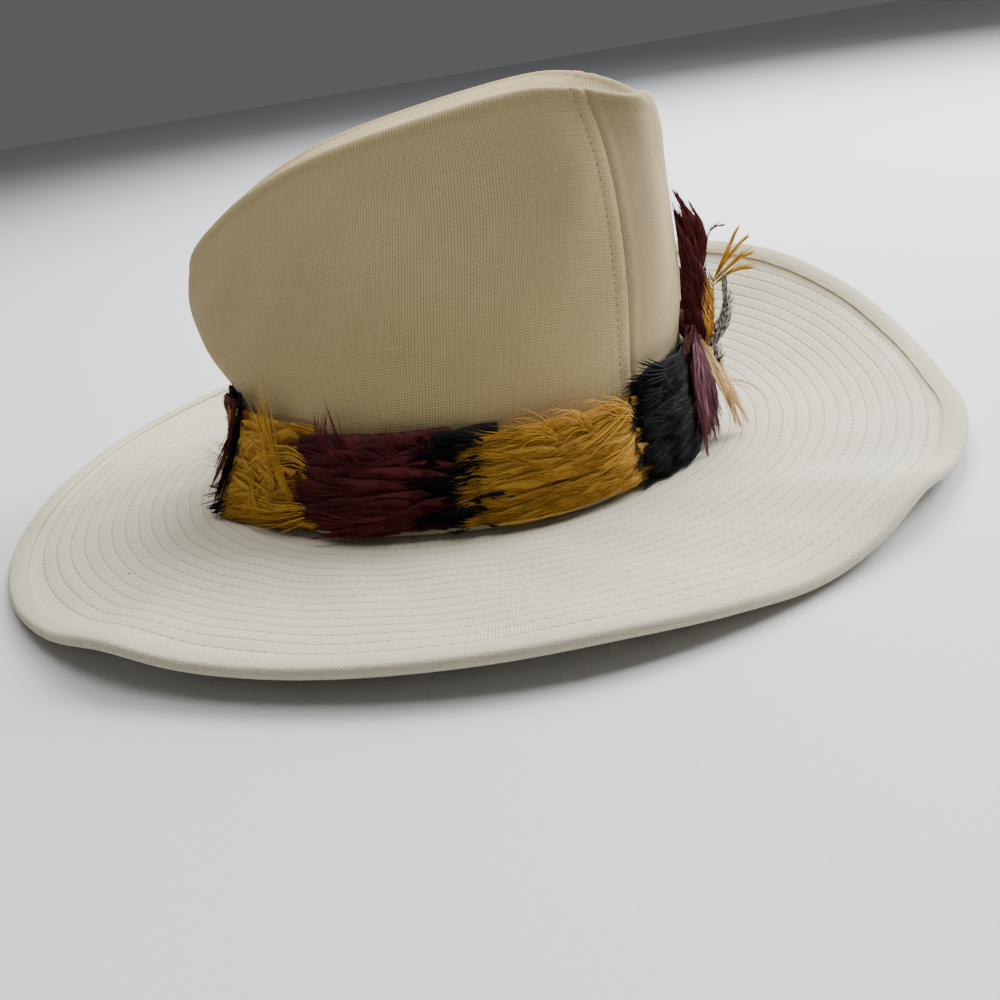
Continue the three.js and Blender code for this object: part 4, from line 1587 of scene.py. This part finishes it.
@dataclass
class Spray:
    """The loose feathers that stand and hang on the front of the band."""

    surface: BandSurface
    main: tuple[Triple, ...] = (
        (98.5, -3, 22), (101.4, -3, 36), (102.2, -3, 50), (101.8, -3, 62), (100.8, -3, 73),
    )
    closer: float = 2.2
    clear: float = 0.7
    behind: float = 0.3

    def plume(self) -> tuple[Quill, ...]:
        """The feathers of the burgundy plume."""
        rows = (
            (self.main, TO_VIEWER, (1.0, 0.9), (13, 10), (50, 26), 80, 0.32, 5.2),
            (self.main, NEAR_SIDE, (1.0, 0.0), (15, 12), (84, 40), 80, 0.34, 0.0),
            (self.main, FAR_SIDE, (0.0, 1.0), (15, 12), (84, 40), 60, 0.34, 0.0),
            (self.main, TO_VIEWER, (1.0, 0.3), (12, 9), (66, 30), 70, 0.30, 0.0),
            (((103.8, -2, 62), (102.8, -1, 74), (99.8, 0, 84), (96.6, 1, 92)),
             TO_VIEWER, (1.0, 0.8), (10, 9), (26, 10), 46, 0.26, 3.0),
            (((103.2, 3, 58), (101.0, 5, 70), (97.0, 6, 80), (92.8, 6, 88)),
             TO_VIEWER, (1.0, 1.0), (11, 9), (28, 12), 46, 0.26, 3.6),
            (((103.4, 1, 52), (100.2, 3, 64), (96.4, 4, 74), (93.6, 4, 82)),
             TO_VIEWER, (1.0, 1.0), (11, 9), (30, 12), 46, 0.26, 4.0),
            (((103.4, -4, 54), (100.8, -5, 63), (97.4, -5, 70), (94.8, -5, 75)),
             TO_VIEWER, (1.0, 1.0), (10, 8), (30, 12), 44, 0.26, 4.0),
            (((103.4, -4, 43), (100.8, -5, 52), (97.6, -6, 59), (94.8, -6, 64)),
             TO_VIEWER, (1.0, 1.0), (11, 8), (34, 12), 46, 0.26, 4.4),
            (((103.0, 2, 36), (100.0, 4, 47), (97.0, 5, 56), (94.4, 5, 63)),
             TO_VIEWER, (1.0, 1.0), (11, 8), (34, 12), 44, 0.26, 4.4),
            (((102.6, -4, 31), (100.6, -6, 40), (98.0, -7, 47), (95.6, -7, 52)),
             TO_VIEWER, (1.0, 1.0), (11, 8), (34, 12), 46, 0.26, 4.4),
            (((100.6, -4, 22), (99.8, -7, 30), (98.2, -8, 37), (96.0, -9, 42)),
             TO_VIEWER, (1.0, 1.0), (10, 8), (34, 12), 42, 0.26, 4.0),
            (((103.9, -3, 68), (104.8, -3, 74), (103.8, -3, 82), (101.2, -3, 89)),
             TO_VIEWER, (1.0, 0.5), (8, 7), (20, 8), 30, 0.24, 1.6),
            (((104.2, -3, 70), (106.5, -3, 77), (109, -3, 79.5), (111.8, -3, 80)),
             TO_VIEWER, (1.0, 1.0), (5, 4), (16, 8), 9, 0.18, 0.0),
        )
        return tuple(
            Quill(
                tuple((x - self.closer, y, z) for x, y, z in route),
                facing, barbs, reach, spread, sides, width=width, vane=vane,
            )
            for route, facing, sides, reach, spread, barbs, width, vane in rows
        )

    def gold(self) -> tuple[Quill, ...]:
        """The gold feathers beside the plume."""
        foot = ((98.5, -7, 20), (101.0, -7, 34), (102.8, -6, 48))
        stem = ((102.4, -9, 38), (104.2, -9, 50), (104.8, -9, 62))
        tufts = (
            ((105, -4, 59), (108.2, -4, 65), (111.6, -4, 71.5), (114.4, -4, 76.5)),
            ((105, -4, 59), (109.0, -4, 65), (113.4, -4, 70), (117.2, -4, 73.5)),
            ((105, -5, 59), (109.6, -5, 63), (114.2, -5, 66.6), (118.0, -5, 68)),
            ((105, -5, 58), (109.6, -5, 61), (114.0, -5, 62.6), (117.4, -5, 62.8)),
        )
        return (
            Quill(stem, TO_VIEWER, 26, (11, 9), (40, 26), (1.0, 0.2), width=0.26, tone=(0.5, 0.9)),
            Quill(foot, (0.5, -0.86, 0), 16, (6, 5), (18, 10), width=0.24, shaft=0.5),
            *(
                Quill(tuft, barbs=13, reach=(11, 8), spread=(9, 5), shaft=0.24, tone=(0.5, 1.0))
                for tuft in tufts
            ),
        )

    def barred(self) -> tuple[Quill, ...]:
        """The barred wisp."""
        upper = ((102.6, -8, 33), (106.0, -8, 40), (108.6, -8, 48), (109.2, -8, 60))
        lower = ((100.4, -9, 22), (103.4, -9, 27), (104.2, -9, 32), (103.0, -9, 36))
        return (
            Quill(upper, barbs=48, reach=(11, 10), spread=(26, 9), bands=3.2, vane=1.4, shaft=0.2),
            Quill(lower, barbs=30, reach=(8, 7), spread=(30, 12), bands=2.8, vane=1.2, shaft=0.2),
        )

    def mauve(self) -> tuple[Quill, ...]:
        """The mauve feather that hangs in front of the black bunch."""
        rows = (
            ((-11, 39, 1.4), (-14, 29, 3.2), (-16, 17, 4.6), (-17, 5, 4.6)),
            ((-15, 37, 1.8), (-18, 27, 3.8), (-21, 15, 5.0), (-23, 3, 4.6)),
            ((-10, 41, 2.0), (-16, 33, 4.4), (-20, 23, 5.6), (-22, 11, 5.4)),
            ((-8, 40, 2.4), (-12, 30, 4.6), (-14, 18, 6.0), (-16, 7, 6.0)),
        )
        return tuple(
            Quill(row, on_band=True, barbs=48, reach=(13, 11), spread=(24, 8), vane=4.4, width=0.20)
            for row in rows
        )

    def tan(self) -> tuple[Quill, ...]:
        """The tan feather beside the mauve one."""
        rows = (
            ((-3, 37, 2.4), (-6, 27, 5.2), (-9, 15, 9.0), (-11, 6, 12.0)),
            ((-1, 35, 3.0), (-4, 25, 6.0), (-7, 14, 10.0), (-9, 6, 14.0)),
            ((-6, 38, 2.4), (-8, 29, 5.0), (-10, 18, 8.6), (-12, 8, 11.0)),
        )
        return tuple(
            Quill(
                row, on_band=True, barbs=44, reach=(13, 10), spread=(26, 8), vane=4.8, width=0.22,
                tone=(0.35, 0.95),
            )
            for row in rows
        )

    def strands(self) -> tuple[Quill, ...]:
        """The bare strands that reach over the brim."""
        rows = (
            ((104, -9, 18), (110, -9, 19.5), (117, -9, 17), (123.5, -9, 9.5)),
            ((103, -10, 16), (109, -10, 18.2), (114, -10, 17.4), (118, -10, 14)),
            ((104, -7, 20), (111, -7, 20), (119, -7, 15.5), (122, -7, 12)),
            ((104, -8, 19), (110.6, -8.5, 19.8), (118, -8.5, 16.6), (124.5, -8, 9.0)),
        )
        return tuple(Quill(row, barbs=0, shaft=0.24) for row in rows)

    def route(self, quill: Quill, shares: Array) -> Array:
        """Places at shares of a quill's length."""
        stops = np.array(quill.route, float)
        if quill.on_band:
            stops, _ = self.surface.at(stops[:, 0], stops[:, 1], stops[:, 2])
        return through(stops, shares)

    def grow(self, quill: Quill, barb: Copied, vane: Copied, rng: Random) -> list[Made]:
        """Makes the quill, its barbs and the flat body between them.

        Args:
            quill: The feather.
            barb: The barb that is copied.
            vane: The flat body that is copied.
            rng: Random numbers.

        Returns:
            The feather's parts.
        """
        rings = np.linspace(0, 1, barb.rings)
        shaft = self.route(quill, rings)[None]
        facing = unit(np.array(quill.facing, float))
        if quill.on_band:
            _, outs = self.surface.at(*np.array([quill.route[1]], float).T)
            facing = unit(outs[0] + np.array([0.0, -0.4, 0.1]))
        taper = np.linspace(1, 0.35, barb.rings)[None] * quill.shaft
        made = [barb.lay(shaft, facing, taper, np.full((1, barb.rings), 0.4), np.zeros(1))]
        if quill.vane:
            u = np.linspace(0, 1, vane.rings)
            middle = self.route(quill, 0.06 + 0.9 * u)[None]
            width = quill.vane * np.interp(u, [0, 0.2, 0.4, 0.7, 1], [0.4, 0.9, 1.0, 0.8, 0.0])[None]
            tones = np.full((1, vane.rings), sum(quill.tone) / 2)
            lanes = rng.uniform(0, LANES, 1)
            made.append(vane.lay(middle - facing * self.behind, facing, width, tones, lanes))
        if quill.barbs:
            made.append(self.barbs(quill, barb, facing, rng))
        return made

    def barbs(self, quill: Quill, barb: Copied, facing: Array, rng: Random) -> Made:
        """Grows the barbs of a free feather.

        Args:
            quill: The feather.
            barb: The barb that is copied.
            facing: The way its flat side faces.
            rng: Random numbers.

        Returns:
            The barbs.
        """
        rings = np.linspace(0, 1, barb.rings)
        side = np.repeat([1.0, -1.0], quill.barbs)
        t = np.tile(np.linspace(0.05, 1.0, quill.barbs), 2) + rng.normal(0, 0.012, 2 * quill.barbs)
        t = np.clip(t, 0.02, 0.98)
        factor = np.where(side > 0, quill.sides[0], quill.sides[1])
        side, t, factor = side[factor > 0], t[factor > 0], factor[factor > 0]
        root = self.route(quill, t)
        ahead = unit(self.route(quill, t + 0.02) - self.route(quill, t - 0.02))
        across = unit(np.cross(facing, ahead)) * side[:, None]
        shape = np.sin(np.pi * np.clip(t * 0.62 + 0.3, 0, 1)) ** 0.6
        reach = quill.reach[0] * (1 - t) + quill.reach[1] * t
        size = reach * factor * shape * rng.uniform(0.85, 1.15, len(t))
        spread = np.radians(quill.spread[0] * (1 - t) + quill.spread[1] * t) * rng.uniform(0.85, 1.15, len(t))
        bend = -spread * rng.uniform(0.5, 1.1, len(t)) + rng.normal(0, 0.08, len(t))
        along, up = curl_path(size[:, None], spread[:, None], bend[:, None], rings)
        tilt = np.tan(np.radians(rng.normal(0, quill.tangle, len(t))))[:, None] * size[:, None] * rings
        made = root[:, None] + ahead[:, None] * along[..., None] + across[:, None] * up[..., None]
        made = made + facing * tilt[..., None]
        thick = quill.width * rng.uniform(0.8, 1.2, (len(t), 1))
        widths = thick * np.interp(rings, [0, 0.3, 0.75, 1], [0.8, 1.0, 0.6, 0.0])[None]
        clump = 0.12 * np.sin(t * 23 + rng.uniform(0, 6))[:, None]
        tone = rng.uniform(*quill.tone, (len(t), 1)) * 0.4 + 0.6 * sum(quill.tone) / 2
        tone = tone + clump + 0.2 * (rings - 0.5)
        if quill.bands:
            run = (t * 30 + rng.normal(0, 0.7, len(t)))[:, None] + size[:, None] * rings
            tone = (np.mod(run, quill.bands) < quill.bands * 0.45) * 0.95 + 0.02
        return barb.lay(made, facing, widths, np.clip(tone, 0, 1), rng.uniform(0, LANES, len(t)))

    def dress(self, finishes: dict[Dye, bpy.types.Material]) -> None:
        """Builds and finishes the spray, with a finish for each dye."""
        groups = (
            ("plume_burgundy", self.plume(), Dye.BURGUNDY, "feather_burgundy", "feathers_burgundy_plume"),
            ("plume_gold", self.gold(), Dye.MUSTARD, "feather_mustard", ""),
            ("plume_barred", self.barred(), Dye.BARRED, "feather_black", ""),
            ("plume_mauve", self.mauve(), Dye.MAUVE, "feather_mauve", "feather_mauve"),
            ("plume_tan", self.tan(), Dye.TAN, "feather_tan", "feather_tan"),
            ("plume_strands", self.strands(), Dye.TAN, "feather_tan", ""),
        )
        barb, vane = Copied.barb(7), Copied.vane()
        wall = ray_target(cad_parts["crown_front"])
        for seed, (name, quills, dye, slot, node) in enumerate(groups, 70):
            rng = np.random.default_rng(seed)
            parts: list[Made] = []
            for quill in quills:
                parts.extend(self.grow(quill, barb, vane, rng))
            if node == "feathers_burgundy_plume":
                parts = [part.ahead(wall, self.clear) for part in parts]
            replaced = (node,) if node else ()
            Workshop.dress(Workshop.from_copies(name, parts), finishes[dye], slot, *replaced)


@dataclass
class LooseThreads:
    """The thread ends that lie on the brim below the band."""

    shape: HatShape
    routes: tuple[tuple[Triple, ...], ...] = (
        ((262, 10, 0.3), (263, 6, 1.2), (264.5, 2, 2.6), (267, 3.5, 1.6), (270.5, 8, 0.3)),
        ((265, 1.5, 2.4), (266, 6, 0.9), (268, 11.5, 0.3)),
        ((268.5, 2, 2.4), (271, 5, 0.8), (275, 6.5, 0.3)),
        ((259.5, 4, 1.8), (261, 8, 0.5), (261.4, 12, 0.3)),
    )
    thick: float = 0.17
    finish: PlainFinish = PlainFinish("loose_thread", (0.52, 0.38, 0.22))

    def dress(self) -> None:
        """Builds and finishes the threads."""
        strand = Copied.barb(9)
        rings = np.linspace(0, 1, strand.rings)
        paths = []
        for route in self.routes:
            stops = np.array(route, float)
            places = self.shape.brim(stops[:, 0], stops[:, 1], stops[:, 2] + self.shape.brim_cloth / 2)
            paths.append(through(places, rings))
        paths = np.array(paths)
        widths = np.full(paths.shape[:2], self.thick)
        tones = np.full(widths.shape, 0.5)
        made = strand.lay(paths, np.array([0.0, 0.0, 1.0]), widths, tones, np.zeros(len(paths)))
        Workshop.dress(Workshop.from_copies("loose_threads", [made]), self.finish.material(), "tape")


# Studio


@dataclass
class Studio:
    """The floor, the lights and the camera."""

    azimuth: float = 12.0
    elevation: float = 25.2
    distance: float = 448.0
    roll: float = -9.9
    target: Triple = (6.0, 0.0, -29.0)
    aim_height: float = 0.05
    room: tuple[float, float, float, float] = (0.86, 0.86, 0.88, 1.0)
    room_strength: float = 0.13
    floor_size: float = 8.0
    floor: PlainFinish = PlainFinish("floor_paper", (0.78, 0.79, 0.82), 0.7)
    lights: tuple[tuple, ...] = (
        ("window", (1.05, 0.62, 0.78), 0.7, 36.0, (0.98, 0.99, 1.0)),
        ("back_window", (0.20, 1.10, 1.10), 0.9, 34.0, (0.99, 1.0, 0.99)),
        ("overhead", (-0.1, 0.35, 1.35), 1.0, 15.0, (1.0, 1.0, 0.97)),
    )

    def camera(self) -> None:
        """Places the camera at the photograph's angle."""
        data = bpy.data.cameras.new("camera")
        data.sensor_width = data.lens = 36.0
        data.clip_start = 0.01
        camera = bpy.data.objects.new("camera", data)
        bpy.context.scene.collection.objects.link(camera)
        azimuth, elevation = math.radians(self.azimuth), math.radians(self.elevation)
        level = math.cos(elevation)
        away = Vector((math.sin(azimuth) * level, -math.cos(azimuth) * level, math.sin(elevation)))
        right = Vector((math.cos(azimuth), math.sin(azimuth), 0.0))
        up = away.cross(right)
        roll = math.radians(self.roll)
        side = math.cos(roll) * right + math.sin(roll) * up
        top = -math.sin(roll) * right + math.cos(roll) * up
        turn = Matrix((side, top, away)).transposed().to_4x4()
        turn.translation = (Vector(self.target) + away * self.distance) * METRE
        camera.matrix_world = turn
        bpy.context.scene.camera = camera

    def light(self, name: str, at: Triple, size: float, power: float, colour: Triple) -> None:
        """Adds one soft light that faces the hat."""
        data = bpy.data.lights.new(name, "AREA")
        data.size, data.energy, data.color = size, power, colour
        lamp = bpy.data.objects.new(name, data)
        lamp.location = at
        away = Vector(at) - Vector((0, 0, self.aim_height))
        lamp.rotation_euler = away.to_track_quat("Z", "Y").to_euler()
        bpy.context.scene.collection.objects.link(lamp)

    def set_up(self) -> None:
        """Lays the floor and sets the lights and the camera."""
        Workshop.clear()
        bpy.ops.mesh.primitive_plane_add(size=self.floor_size, location=(0, 0, 0))
        floor = bpy.context.object
        floor.name = "floor"
        floor.data.materials.append(self.floor.material())
        world = bpy.data.worlds.new("soft_room")
        world.use_nodes = True
        background = world.node_tree.nodes["Background"]
        background.inputs["Color"].default_value = self.room
        background.inputs["Strength"].default_value = self.room_strength
        bpy.context.scene.world = world
        for row in self.lights:
            self.light(*row)
        self.camera()


def main() -> None:
    """Builds the hat piece by piece."""
    logging.basicConfig(level=logging.INFO, format="%(name)s: %(message)s")
    shape = HatShape()
    Crown(shape).dress()
    Brim(shape).dress()
    finishes = {dye: FeatherFinish(f"feather_{dye.name.lower()}", dye).material() for dye in Dye}
    band = FeatherBand(shape)
    band.dress(finishes)
    Spray(band.surface).dress(finishes)
    LooseThreads(shape).dress()
    Studio().set_up()
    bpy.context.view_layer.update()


if __name__ == "__main__":
    main()
